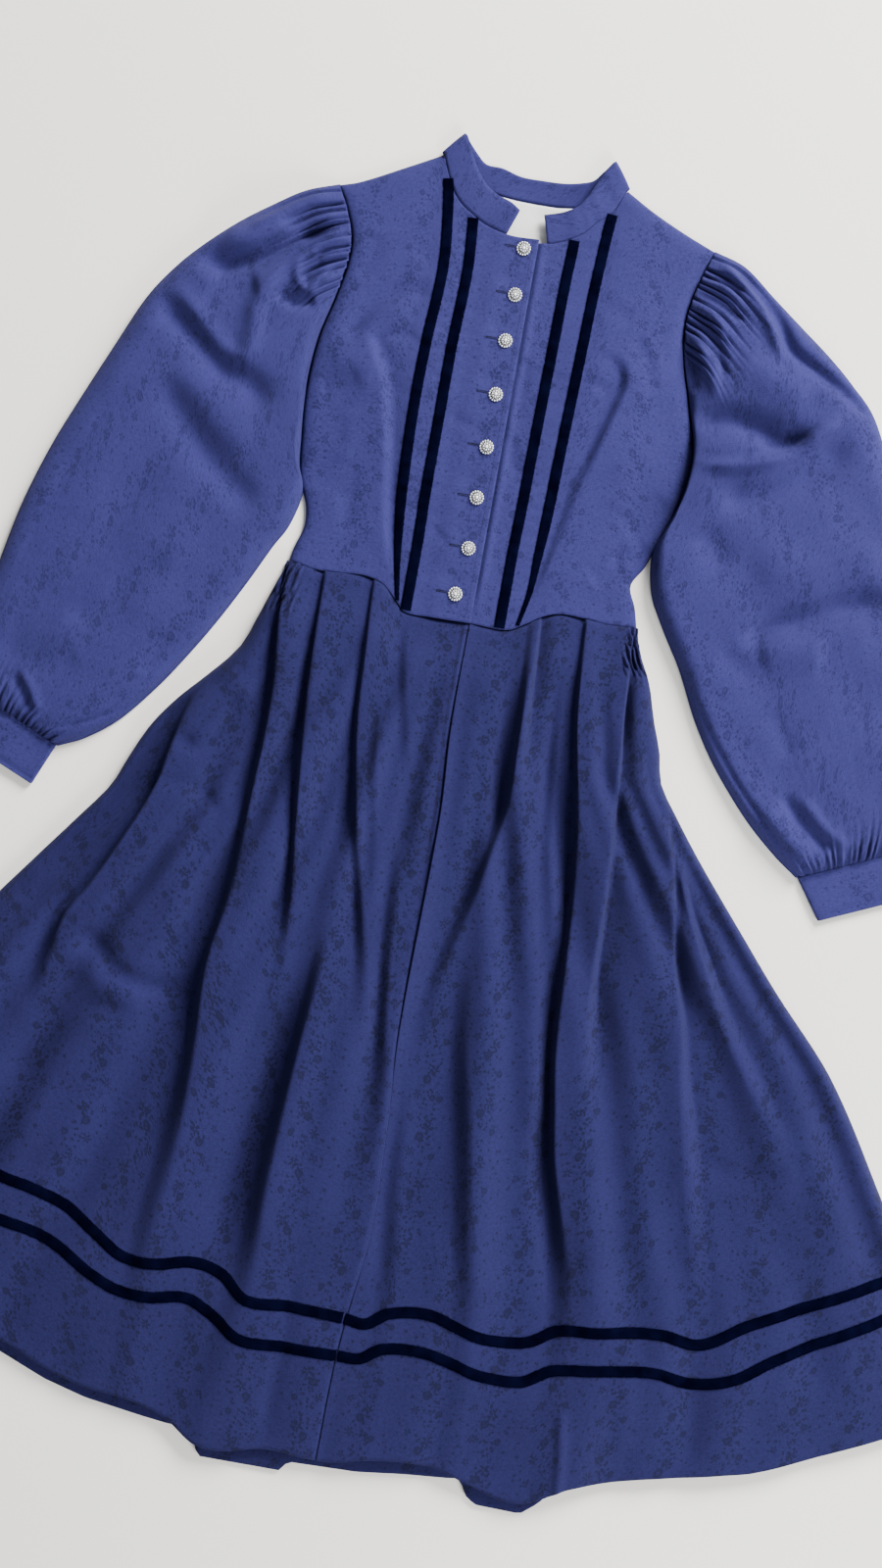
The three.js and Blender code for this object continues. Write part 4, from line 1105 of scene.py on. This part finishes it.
def strip_size(points):
    """Width and length of a long band's cut, in millimetres."""
    cut = arc_lengths(points)
    return cut[:, :, 0].max(), cut[:, :, 1].max()


bodice = {"right": bodice_points("right", BAND_EDGE), "left": bodice_points("left", -LAP)}


def make_bodice():
    for hand, points in bodice.items():
        piece = shell("front_" + hand, points, CLOTH_BLUE, shift=(17 if hand == "right" else 290, 0))
        lay(["bodice_front_" + hand], points, extent(points))


BACK_TOP = 1.5  # top of a back panel, which the fronts lie clear of
BACK_GRID = 90  # rows, and columns
LINING_X = (-58, 38)
LINING_Y = (336, 417)


def make_backs():
    """The back bodice and the white lining that shows in the neck."""
    side = {hand: points[:, -1, :2] for hand, points in bodice.items()}
    neck = np.stack([COLLAR_BACK.column["seamX"], COLLAR_BACK.column["seamY"] - 2 * GAP], axis=1)[1:-1]
    # The shoulder seams, short of the neck point by a few columns, with the neckline between them.
    right, left = (bodice[hand][-1, NECK_COLUMN:, :2] for hand in ("right", "left"))
    top = resample(np.concatenate([right[::-1][:-3], neck, left[3:]]), BACK_GRID)
    across = np.linspace(0, 1, BACK_GRID)
    up = np.linspace(0, 1, BACK_GRID)[:, None, None]
    bottom = lerp(side["right"][0], side["left"][0], across[:, None])
    plan = lerp(bottom[None], top[None], up)
    # The sides follow the fronts', and the pull of that fades towards the middle.
    for hand, edge, fade in (("right", 0, (1 - across) ** 3), ("left", -1, across**3)):
        want = resample(side[hand], BACK_GRID)
        plan += (want - plan[:, edge])[:, None, :] * fade[None, :, None]
    z = np.full(plan.shape[:2] + (1,), BACK_TOP)
    points = np.concatenate([plan, z], axis=2)
    piece = shell("back", points, CLOTH_BLUE, shift=(600, 0))
    lay(["bodice_back"], points, extent(points))

    x, y = np.meshgrid(np.linspace(*LINING_X, 40), np.linspace(*LINING_Y, 36))
    limit = np.interp(x, neck[:, 0], neck[:, 1]) - 1
    low, high = LINING_Y
    y = low + (y - low) * (limit - low) / (high - low)
    z = REST + 1.0 + waves(x, y, 40, 0.35, SEED + 5)
    points = np.stack([x, y, z], axis=2)
    piece = shell("neck_lining", points, COTTON, thickness=0.7)
    lay(["lining_back"], points, extent(points))


def make_collar():
    steps = 36

    def front(hand):
        neck = NECK[hand]
        inside = neck.key[:-1] if hand == "right" else neck.key[1:]
        x = np.linspace(inside.min(), inside.max(), 200)
        seam = np.stack([x, neck.read("y", x)], axis=1)
        if hand == "right":
            seam = seam[::-1]
        seam = resample(seam, steps)
        top = resample(smooth_line(COLLAR_TOP[hand]), steps)
        reach = np.linalg.norm(top - seam, axis=1, keepdims=True)
        seam = seam + (top - seam) * 0.5 / reach
        z = bodice_top(hand, seam[:, 0], seam[:, 1]) - CLOTH / 2
        low = np.concatenate([seam, z[:, None]], axis=1)
        high = np.concatenate([top, z[:, None] + 2.2], axis=1)
        return np.stack([low, high], axis=1)

    t = np.linspace(COLLAR_BACK.key[0], COLLAR_BACK.key[-1], 60)
    seam_y, top_x, top_y = (COLLAR_BACK.read(name, t) for name in ("seamY", "topX", "topY"))
    flat = np.full(60, 0.8)
    back = np.stack([np.column_stack([t, seam_y + GAP, flat]), np.column_stack([top_x, top_y, flat])], axis=1)

    def fold(upper, lower, outward):
        made = []
        for share in np.linspace(0, 1, 9)[1:-1]:
            angle = math.pi * (0.5 - share)
            radius = (upper[:, 2] - lower[:, 2]) / 2
            plan = lerp(upper[:, :2], lower[:, :2], share)
            plan = plan + np.outer(radius * math.cos(angle), outward)
            z = lower[:, 2] + radius * (1 + math.sin(angle))
            made.append(np.concatenate([plan, z[:, None]], axis=1))
        return np.array(made)

    right, left = front("right"), front("left")[::-1]
    right_turn = fold(right[-1], back[0], (-0.72, 0.69))
    left_turn = fold(left[0], back[-1], (0.72, 0.69))[::-1]
    sections = np.concatenate([right, right_turn, back, left_turn, left])
    share = np.linspace(0, 1, 9)[None, :, None]
    middle = lerp(sections[:, 0][:, None], sections[:, 1][:, None], share)
    # The band bows a little between its two stitched edges.
    normal = grid_normals(middle)
    normal = normal * np.sign(normal[steps // 2, 4, 2])
    outer = middle + normal * (SHELL / 2 + np.sin(np.pi * share) * 0.5)
    rings = np.concatenate([outer, (outer - normal * SHELL)[:, ::-1]], axis=1)
    cut = arc_lengths(outer)
    cut = np.concatenate([cut, cut[:, ::-1]], axis=1).reshape(-1, 2)
    piece = tube("collar_band", rings, CLOTH_BLUE, cut)
    lay(["collar"], outer, strip_size(outer))


# --- ribbons --------------------------------------------------------------------------------------


def ribbon(name, node, centre, half, top):
    """A velvet ribbon along a line of plan points, half = its half width at each, on a surface."""
    tangent = np.gradient(centre, axis=0)
    tangent /= np.linalg.norm(tangent, axis=1, keepdims=True)
    across = np.stack([-tangent[:, 1], tangent[:, 0]], axis=1)
    shares = np.array([-1, -0.94, -0.6, 0, 0.6, 0.94, 1])
    crown = np.array([0.25, 0.75, 1, 1.1, 1, 0.75, 0.25])
    plan = centre[:, None] + across[:, None] * (shares[None, :, None] * half[:, None, None])
    ground = top(plan[:, :, 0], plan[:, :, 1])
    rng = np.random.default_rng(SEED + len(name))
    ragged = rng.normal(0, 0.12, plan.shape[:2]) * (np.abs(shares) > 0.9)
    plan = plan + across[:, None] * ragged[:, :, None]
    upper = np.concatenate([plan, (ground + PILE * crown)[:, :, None]], axis=2)
    lower = np.concatenate([plan, (ground + 0.05)[:, :, None]], axis=2)
    piece = tube(name, np.concatenate([upper, lower[:, ::-1]], axis=1), VELVET)
    piece = merge(piece, pile_tufts(upper, across, rng))
    length = float(reach_along(upper[:, 3])[-1])
    width = 2 * float(half.max())
    area = min(plan_area(upper), width * length * MM * MM)
    lay([node], upper, (width * 1.02, length), area=area)


TUFT_STEP = 0.9


def pile_tufts(upper, across, rng):
    """Short tufts of pile that stand out from both edges of a ribbon."""
    points, faces = [], []
    for edge, sign in ((0, -1), (-1, 1)):
        line = resample(np.concatenate([upper[:, edge], across * sign], axis=1), 2000)
        length = float(np.linalg.norm(np.diff(upper[:, edge], axis=0), axis=1).sum())
        picks = np.linspace(0, len(line) - 1, int(length / TUFT_STEP)).astype(int)
        for i in picks:
            root = line[i, :3] + (0, 0, 0.25)
            out = np.array([line[i, 3], line[i, 4], 0.0])
            side = np.array([-out[1], out[0], 0.0])
            reach = rng.uniform(0.3, 1.1)
            tip = root + out * reach + side * rng.normal(0, 0.35) + (0, 0, rng.uniform(-0.1, 0.35))
            base = root - out * 0.3
            start = len(points)
            points += [base - side * 0.35, base + side * 0.35, base + (0, 0, 0.4), tip]
            faces += [
                (start, start + 1, start + 3),
                (start + 1, start + 2, start + 3),
                (start + 2, start, start + 3),
                (start + 1, start, start + 2),
            ]
    return np.array(points), faces


def merge(piece, part):
    """Adds loose closed bits to a piece's mesh."""
    points, faces = part
    mesh = piece.data
    old = np.empty(len(mesh.vertices) * 3)
    mesh.vertices.foreach_get("co", old)
    old_points = old.reshape(-1, 3) / MM
    old_faces = [tuple(p.vertices) for p in mesh.polygons]
    start = len(old_points)
    all_faces = old_faces + [tuple(start + i for i in f) for f in faces]
    fresh = bpy.data.meshes.new(piece.name)
    fresh.from_pydata((np.concatenate([old_points, points]) * MM).tolist(), [], all_faces)
    fresh.update()
    fresh.polygons.foreach_set("use_smooth", [True] * len(fresh.polygons))
    fresh.materials.append(mesh.materials[0])
    piece.data = fresh
    bpy.data.meshes.remove(mesh)
    return piece


def make_bodice_ribbons():
    for hand in ("right", "left"):
        for part in ("Inner", "Outer"):
            y = np.linspace(0, 450, 400)
            x = BODICE_RIBBONS.read(hand + part, y)
            inside = (y > WAIST.read("y", x) + 1) & (y < neck_top(hand, x) - 2)
            centre = np.stack([x[inside], y[inside]], axis=1)
            width = BODICE_RIBBONS.read("width", centre[:, 1]) if part == "Outer" else np.ones(len(centre))
            ribbon(
                f"velvet_{hand}_{part.lower()}",
                f"ribbon_{hand}_{part.lower()}",
                centre,
                width * RIBBON / 2,
                partial(bodice_top, hand),
            )


# --- sleeves --------------------------------------------------------------------------------------

RINGS = 150
TOP_COLUMNS = 130
UNDERARM_Y = 197
CHEST_RINGS = 5
ARMHOLE_GATHERS = 12
GATHERED_FROM = 0.52  # share of the armhole, from the underarm, where the gathers start
CUFF_GATHERS = 17


def sleeve_plan(hand):
    """Plan points of a sleeve: [ring, share across] from the armhole to the cuff."""
    outward = AWAY[hand]
    seam_y = np.linspace(UNDERARM_Y, 401, 200)
    seam = np.stack([BODICE_SIDES.read(hand, seam_y) + outward * GAP, seam_y], axis=1)
    under_y = np.linspace(UNDERARM_Y, 101, CHEST_RINGS)
    under = [(float(BODICE_SIDES.read(hand, y)) + outward * GAP, y) for y in under_y]
    inner = np.array(under + [row[:2] for row in ARM[hand]])
    outer = np.array([tuple(seam[-1])] + CAP[hand][1:] + [row[2:] for row in ARM[hand]])
    key = np.arange(len(inner), dtype=float)
    edges = Table("at ix iy ox oy", np.column_stack([key, inner, outer]))
    at = np.linspace(0, key[-1], RINGS)
    ends = [edges.read(n, at)[:, None] for n in ("ix", "iy", "ox", "oy")]
    share = np.linspace(0, 1, TOP_COLUMNS)[None, :]
    keep = np.clip(1 - at / CHEST_RINGS, 0, 1)[:, None] ** 2
    curve = resample(seam, TOP_COLUMNS)
    plan = []
    for n in range(2):
        straight = lerp(curve[0, n], curve[-1, n], share[0])
        plan.append(lerp(ends[n], ends[n + 2], share) + keep * (curve[:, n] - straight)[None, :])
    return np.stack(plan, axis=2), at / key[-1], share


INNER_ROLL = 18
OUTER_ROLL = 30
FOLDED_RISE = 12
TURN_STEPS = 5
UNDERSIDE = 0.1  # outer face of a sleeve's under side
CAP_DEPTH = {"right": 1.7, "left": 1.1}  # of the gathers at the armhole


def make_sleeve(hand):
    plan, at, share = sleeve_plan(hand)
    x, y = plan[:, :, 0], plan[:, :, 1]
    width = np.linalg.norm(plan[:, -1] - plan[:, 0], axis=1)[:, None]
    rise = SLEEVE_RISE.read("rise", at)[:, None]
    gather = SLEEVE_RISE.read("gather", at)[:, None]
    edges = roll(share * width, INNER_ROLL) * roll((1 - share) * width, OUTER_ROLL)
    # Gathers at the armhole and the cuff, drawn up tighter at some places than others.
    uneven = share + 0.012 * np.sin(share * 37) + 0.006 * np.sin(share * 91 + at[:, None] * 6)
    cap_phase = (uneven - GATHERED_FROM) / (1 - GATHERED_FROM) * ARMHOLE_GATHERS * 2 * math.pi
    crease = np.exp(-((np.sin(cap_phase / 2) / 0.42) ** 2))
    cap = CAP_DEPTH[hand] * (1 - 2 * crease) * smoothstep(share, GATHERED_FROM - 0.08, GATHERED_FROM + 0.04)
    cuff = np.cos(uneven * CUFF_GATHERS * 2 * math.pi) * (0.75 + 0.35 * np.sin(share * 23))
    gathered = gather * 1.15 * np.where(at[:, None] > 0.5, cuff, cap)
    small = waves(x, y, 80, 2.0, SEED + 9 + len(hand)) + waves(x, y, 26, 0.3, SEED + 10)
    body = rise + np.minimum(1, rise / FOLDED_RISE) * (fold_height("sleeve" + hand.title(), x, y) + small)
    top = REST + CLOTH + edges * settled(body + gathered)
    upper = np.concatenate([plan, top[:, :, None]], axis=2)
    lower = np.concatenate([plan, np.full(top.shape + (1,), UNDERSIDE)], axis=2)
    lower = lower[:, :: -TOP_COLUMNS // 40]
    # Both long edges are folds: half rounds from the upper face to the under one.
    out = plan[:, -1] - plan[:, 0]
    out /= np.linalg.norm(out, axis=1, keepdims=True)

    def turn(edge, sign):
        high, low = upper[:, edge, 2], UNDERSIDE
        radius = (high - low) / 2
        made = []
        for step in np.linspace(0, math.pi, TURN_STEPS + 2)[1:-1]:
            reach = radius * math.sin(step) * 0.8
            place = plan[:, edge] + out * (sign * reach)[:, None]
            made.append(np.column_stack([place, low + radius * (1 + math.cos(step))]))
        return np.stack(made, axis=1)

    outer_turn = turn(-1, 1)
    inner_turn = turn(0, -1)[:, ::-1]
    loop = np.concatenate([upper, outer_turn, lower, inner_turn], axis=1)
    piece = shell("sleeve_" + hand, loop, CLOTH_BLUE, closed=True, shift=(0, 900))
    closed = np.concatenate([loop, loop[:, :1]], axis=1)
    nodes = [f"sleeve_{hand}_upper", f"sleeve_{hand}_under"]
    lay(nodes, closed, extent(closed))


def make_cuff(hand):
    ix, iy, ox, oy = ARM[hand][-1]
    across = np.array([ox - ix, oy - iy], dtype=float)
    width = float(np.linalg.norm(across))
    along = across / width
    down = np.array(CUFF[hand], dtype=float)
    depth = float(np.linalg.norm(down))
    half = CUFF_THICKNESS / 2
    turn = np.linspace(math.pi / 2, 3 * math.pi / 2, 12)
    left = np.stack([half + half * np.cos(turn), half + half * np.sin(turn)], axis=1)
    right = np.stack([width - half - half * np.cos(turn), half - half * np.sin(turn)], axis=1)
    bottom = np.stack([np.linspace(half, width - half, 30)[1:-1], np.zeros(28)], axis=1)
    top = np.stack([np.linspace(width - half, half, 30)[1:-1], np.full(28, 2 * half)], axis=1)
    loop = np.concatenate([left, bottom, right, top])
    shares = np.concatenate([[0.012, 0.03, 0.06], np.linspace(0.1, 0.9, 14), [0.95, 0.985, 1.0]])
    rings = []
    for share in shares:
        # Pressed flat along the stitching near both edges, fuller between.
        puff = 1 - 0.22 * bell(share - 0.08, 0.04) - 0.22 * bell(share - 0.93, 0.04)
        z = loop[:, 1] * puff
        place = np.array([ix, iy]) + loop[:, 0:1] * along + down * share
        rings.append(np.column_stack([place, z]))
    rings = np.array(rings)
    bumps = waves(rings[:, :, 0], rings[:, :, 1], 34, 0.5, SEED + 12)
    rings[:, :, 2] += bumps * (rings[:, :, 2] > half)
    piece = shell("cuff_band_" + hand, rings, CLOTH_BLUE, closed=True, shift=(40, 300))
    closed = np.concatenate([rings, rings[:, :1]], axis=1)
    lay(["cuff_" + hand], closed, (extent(closed)[0], depth * 1.02))


# --- skirt ----------------------------------------------------------------------------------------

WAIST_GAP = 0.5
SKIRT_COLUMNS = 268
SKIRT_ROWS = 168
ABOVE_RIBBONS = 0.79  # share of the rows that lie above the upper ribbon


def skirt_points(hand):
    away = AWAY[hand]
    # Columns lie a little closer together towards the centre.
    share = np.linspace(0, 1, SKIRT_COLUMNS)[None, :] ** 1.15
    down = np.linspace(0, 1, SKIRT_ROWS)[:, None]

    def column(y):
        return lerp(CENTRE_SEAM.read("x", y) + away * GAP / 2, SKIRT_SIDES.read(hand, y), share)

    def row(x):
        waist = WAIST.read("y", x) - WAIST_GAP
        upper = SKIRT_LEVELS.read("upper", x)
        hem = SKIRT_LEVELS.read("hem", x)
        above, below = down / ABOVE_RIBBONS, (down - ABOVE_RIBBONS) / (1 - ABOVE_RIBBONS)
        return np.where(down < ABOVE_RIBBONS, lerp(waist, upper, above), lerp(upper, hem, below))

    x, y = crossing(column, row)
    aside = pleats("skirt" + hand.title(), x, y)[1]
    return np.stack([x + aside, y, skirt_top(hand, x, y)], axis=2)


def skirt_top(hand, x, y):
    return skirt_height(hand, x, y) + CLOTH


def make_skirt():
    for hand in ("right", "left"):
        points = skirt_points(hand)
        # The skirt fronts take the darker copy of the wool: painted shade.
        piece = shell("skirt_" + hand, points, SHADED_SKIRT_BLUE, shift=(11 if hand == "right" else 2040, 0))
        lay(["skirt_front_" + hand], points, extent(points))
        for level in ("upper", "lower"):
            x = np.linspace(1, 620, 900) * AWAY[hand]
            y = SKIRT_LEVELS.read(level, x)
            side = np.abs(SKIRT_SIDES.read(hand, y))
            inside = np.abs(x) < side - 1.5
            centre = np.stack([x[inside], y[inside]], axis=1)
            centre = resample(centre, 420)
            ribbon(
                f"velvet_hem_{level}_{hand}",
                f"hem_ribbon_{level}_{hand}",
                centre,
                np.full(len(centre), (RIBBON + 0.6) / 2),
                partial(skirt_top, hand),
            )


def make_skirt_back():
    """The back of the skirt, with the two pleat folds that reach below the front hem."""
    columns = np.linspace(0, 1, 220)[None, :]
    down = np.linspace(0, 1, 60)[:, None]

    def column(y):
        return lerp(SKIRT_SIDES.read("right", y), SKIRT_SIDES.read("left", y), columns)

    def row(x):
        return lerp(26.0, np.interp(x, BACK_HEM.key, BACK_HEM.column["y"]), down)

    x, y = crossing(column, row)
    below = SKIRT_LEVELS.read("hem", x) - y
    z = BACK_TOP + np.clip(below, 0, 6) / 6 * 2.6
    points = np.stack([x, y, z], axis=2)
    # The back of the skirt also takes the darker copy of the wool: painted shade.
    piece = shell("skirt_rear", points, SHADED_SKIRT_BLUE, shift=(900, 13))
    lay(["skirt_back"], points, extent(points))


# --- buttons and sewing ---------------------------------------------------------------------------


def moved(part, x, y, z):
    points, faces = part
    return points + np.array([x, y, z]), faces


# Rings of beads on a button: how many, how far from its axis, turned by what share of a step, how far over
# the seat, and the radius, height, sides and rings of one bead.
BEADS = (16, 6.1, 0, 0.3, 1.08, 1.6, 10, 4)
PETALS = (8, 4.4, 0.5, 1.7, 0.5, 1.2, 8, 3)
STONES = (8, 3.1, 0, 2.0, 1.0, 1.6, 8, 3)


def bead_ring(x, y, seat, count, reach, turn, lift, *bead):
    angles = [2 * math.pi * (k + turn) / count for k in range(count)]
    return [
        moved(dome(*bead), x + reach * math.cos(angle), y + reach * math.sin(angle), seat + lift)
        for angle in angles
    ]


def button(number, x, y):
    """A domed filigree button: a dark cup, a rim of beads, a ring of stones and one in the middle."""
    turn = np.linspace(0, 2 * math.pi, 16)
    rim = bodice_top("right", x + BUTTON_RADIUS * np.cos(turn), y + BUTTON_RADIUS * np.sin(turn))
    seat = float(rim.max()) + 0.1
    cup = joined(f"button_{number}_cup", [moved(dome(6.3, 2.6, 40, 8), x, y, seat)], DARK_SILVER)
    silver = bead_ring(x, y, seat, *BEADS) + bead_ring(x, y, seat, *PETALS)
    work = joined(f"button_{number}_filigree", silver, SILVER)
    stones = [moved(dome(1.75, 1.9, 12, 4), x, y, seat + 2.9), *bead_ring(x, y, seat, *STONES)]
    gems = joined(f"button_{number}_stones", stones, STONE)
    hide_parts(f"button_{number}")


STITCH_RINGS = 4
STITCH_SIDES = 5


def stitches(name, rows, top):
    """Stitches of thread on a surface, from rows of x and y at both ends, a width and a height."""
    x0, y0, x1, y1, width, height = np.array(rows, dtype=float).T
    start = np.column_stack([x0, y0, top(x0, y0)])
    end = np.column_stack([x1, y1, top(x1, y1)])
    along = (end - start)[:, :2]
    along /= np.linalg.norm(along, axis=1, keepdims=True)
    side = np.column_stack([-along[:, 1], along[:, 0], np.zeros(len(along))])
    points = []
    for share in np.linspace(0, 1, STITCH_RINGS):
        girth = math.sin(math.pi * (0.15 + 0.7 * share))
        for turn in np.linspace(0, math.pi, STITCH_SIDES):
            offset = side * (math.cos(turn) * width / 2 * girth)[:, None]
            offset[:, 2] += math.sin(turn) * height * girth
            points.append(start + (end - start) * share + offset)
    points = np.stack(points, axis=1)
    index = np.arange(STITCH_RINGS * STITCH_SIDES).reshape(STITCH_RINGS, STITCH_SIDES)
    one = grid_faces(index, True)
    faces = one[None] + (np.arange(len(points)) * STITCH_RINGS * STITCH_SIDES)[:, None, None]
    piece = store(name, points.reshape(-1, 3), faces.reshape(-1, 4), THREAD)


def make_buttonholes():
    """Satin stitches round each buttonhole, which shows beside its button, and its bar."""
    rows = []
    for x, y in BUTTONS:
        y = y + 0.6
        for k in range(16):
            px = x - 17.8 + k * 0.62
            rows += [(px, y + side * 0.2, px + 0.1, y + side * 1.25, 0.5, 0.4) for side in (-1, 1)]
        for k in range(5):
            turn = math.pi / 2 + math.pi * k / 4
            rows.append((x - 17.9, y, x - 17.9 + 1.5 * math.cos(turn), y + 1.35 * math.sin(turn), 0.5, 0.4))
    stitches("buttonholes", rows, partial(bodice_top, "right"))


def seam(line, pitch, length, width=0.55):
    """Rows for a line of stitches along plan points, one every pitch."""
    reach = reach_along(line)
    begin = np.arange(0, reach[-1] - length, pitch)
    at = [[np.interp(begin + extra, reach, line[:, n]) for n in (0, 1)] for extra in (0, length)]
    wide = np.full(len(begin), width)
    return np.column_stack([*at[0], *at[1], wide, wide * 0.4]).tolist()


def make_sewing():
    """Topstitching beside the band's edge, beside the fly and across its foot."""
    down = np.linspace(376, 6, 160)
    band = np.column_stack([np.full(160, BAND_EDGE - 5.0), down])
    stitches("band_stitching", seam(band, 3.2, 2.3), partial(bodice_top, "right"))
    fly_y = np.linspace(-6, FLY_BOTTOM, 120)
    fly = np.column_stack([CENTRE_SEAM.read("x", fly_y) - 6.5, fly_y])
    bar_x = np.linspace(-12, 4, 40)
    bar = np.column_stack([bar_x, lerp(-226, -218, (bar_x + 12) / 16)])
    rows = seam(fly, 3.2, 2.3) + seam(bar, 1.3, 1.1, 0.9)
    stitches("fly_stitching", rows, partial(skirt_top, "right"))


# --- stage, light and camera ----------------------------------------------------------------------
CAMERA_OVER = (1.1, -157.8)  # the point of the surface straight under the camera
IMAGE_RIGHT = np.array([0.9842, 0.1771, 0])  # the picture's right and up, along the surface
IMAGE_UP = np.array([-0.1771, 0.9842, 0])
FRAME_HEIGHT = 1536  # how much of the surface the picture takes in, from top to bottom
FLOOR_HALF = 6000
LENS = 50
SENSOR = 36


def make_stage():
    corners = [(x * FLOOR_HALF, y * FLOOR_HALF, FLOOR) for x, y in ((-1, -1), (1, -1), (1, 1), (-1, 1))]
    floor = store("floor", corners, [(0, 1, 2, 3)], floor_material())


def area_light(name, right, up, height, size, power, colour):
    """A round lamp, placed in metres from the picture's centre, that shines at it."""
    lamp = bpy.data.lights.new(name, "AREA")
    lamp.shape = "DISK"
    lamp.size = size
    lamp.energy = power
    lamp.color = colour
    thing = bpy.data.objects.new(name, lamp)
    bpy.context.scene.collection.objects.link(thing)
    centre = np.array([CAMERA_OVER[0], CAMERA_OVER[1], 0]) * MM
    place = centre + IMAGE_RIGHT * right + IMAGE_UP * up + np.array([0, 0, height])
    thing.location = place
    thing.rotation_euler = Vector(centre - place).to_track_quat("-Z", "Y").to_euler()


def make_lights():
    area_light("window", 2.3, 2.7, 1.95, 1.85, 575, (1.0, 0.992, 0.975))
    area_light("side", 1.5, -2.1, 1.4, 1.5, 120, (0.98, 0.99, 1.0))
    world = bpy.data.worlds.new("room")
    world.use_nodes = True
    world.node_tree.nodes["Background"].inputs["Color"].default_value = (0.93, 0.95, 1.0, 1)
    world.node_tree.nodes["Background"].inputs["Strength"].default_value = 0.45
    bpy.context.scene.world = world


def make_camera():
    camera = bpy.data.cameras.new("camera")
    camera.lens = LENS
    camera.sensor_width = SENSOR
    camera.sensor_fit = "AUTO"
    thing = bpy.data.objects.new("camera", camera)
    bpy.context.scene.collection.objects.link(thing)
    place = (CAMERA_OVER[0] * MM, CAMERA_OVER[1] * MM, FRAME_HEIGHT * MM * LENS / SENSOR)
    # The camera's axes and its place, one in each column.
    thing.matrix_world = Matrix([*zip(IMAGE_RIGHT, IMAGE_UP, (0, 0, 1), place), (0, 0, 0, 1)])
    bpy.context.scene.camera = thing


make_stage()
make_lights()
make_camera()
make_bodice()
make_backs()
make_collar()
make_bodice_ribbons()
for hand in ("right", "left"):
    make_sleeve(hand)
    make_cuff(hand)
make_skirt()
make_skirt_back()
for number, (x, y) in enumerate(BUTTONS, 1):
    button(number, x, y)
make_buttonholes()
make_sewing()
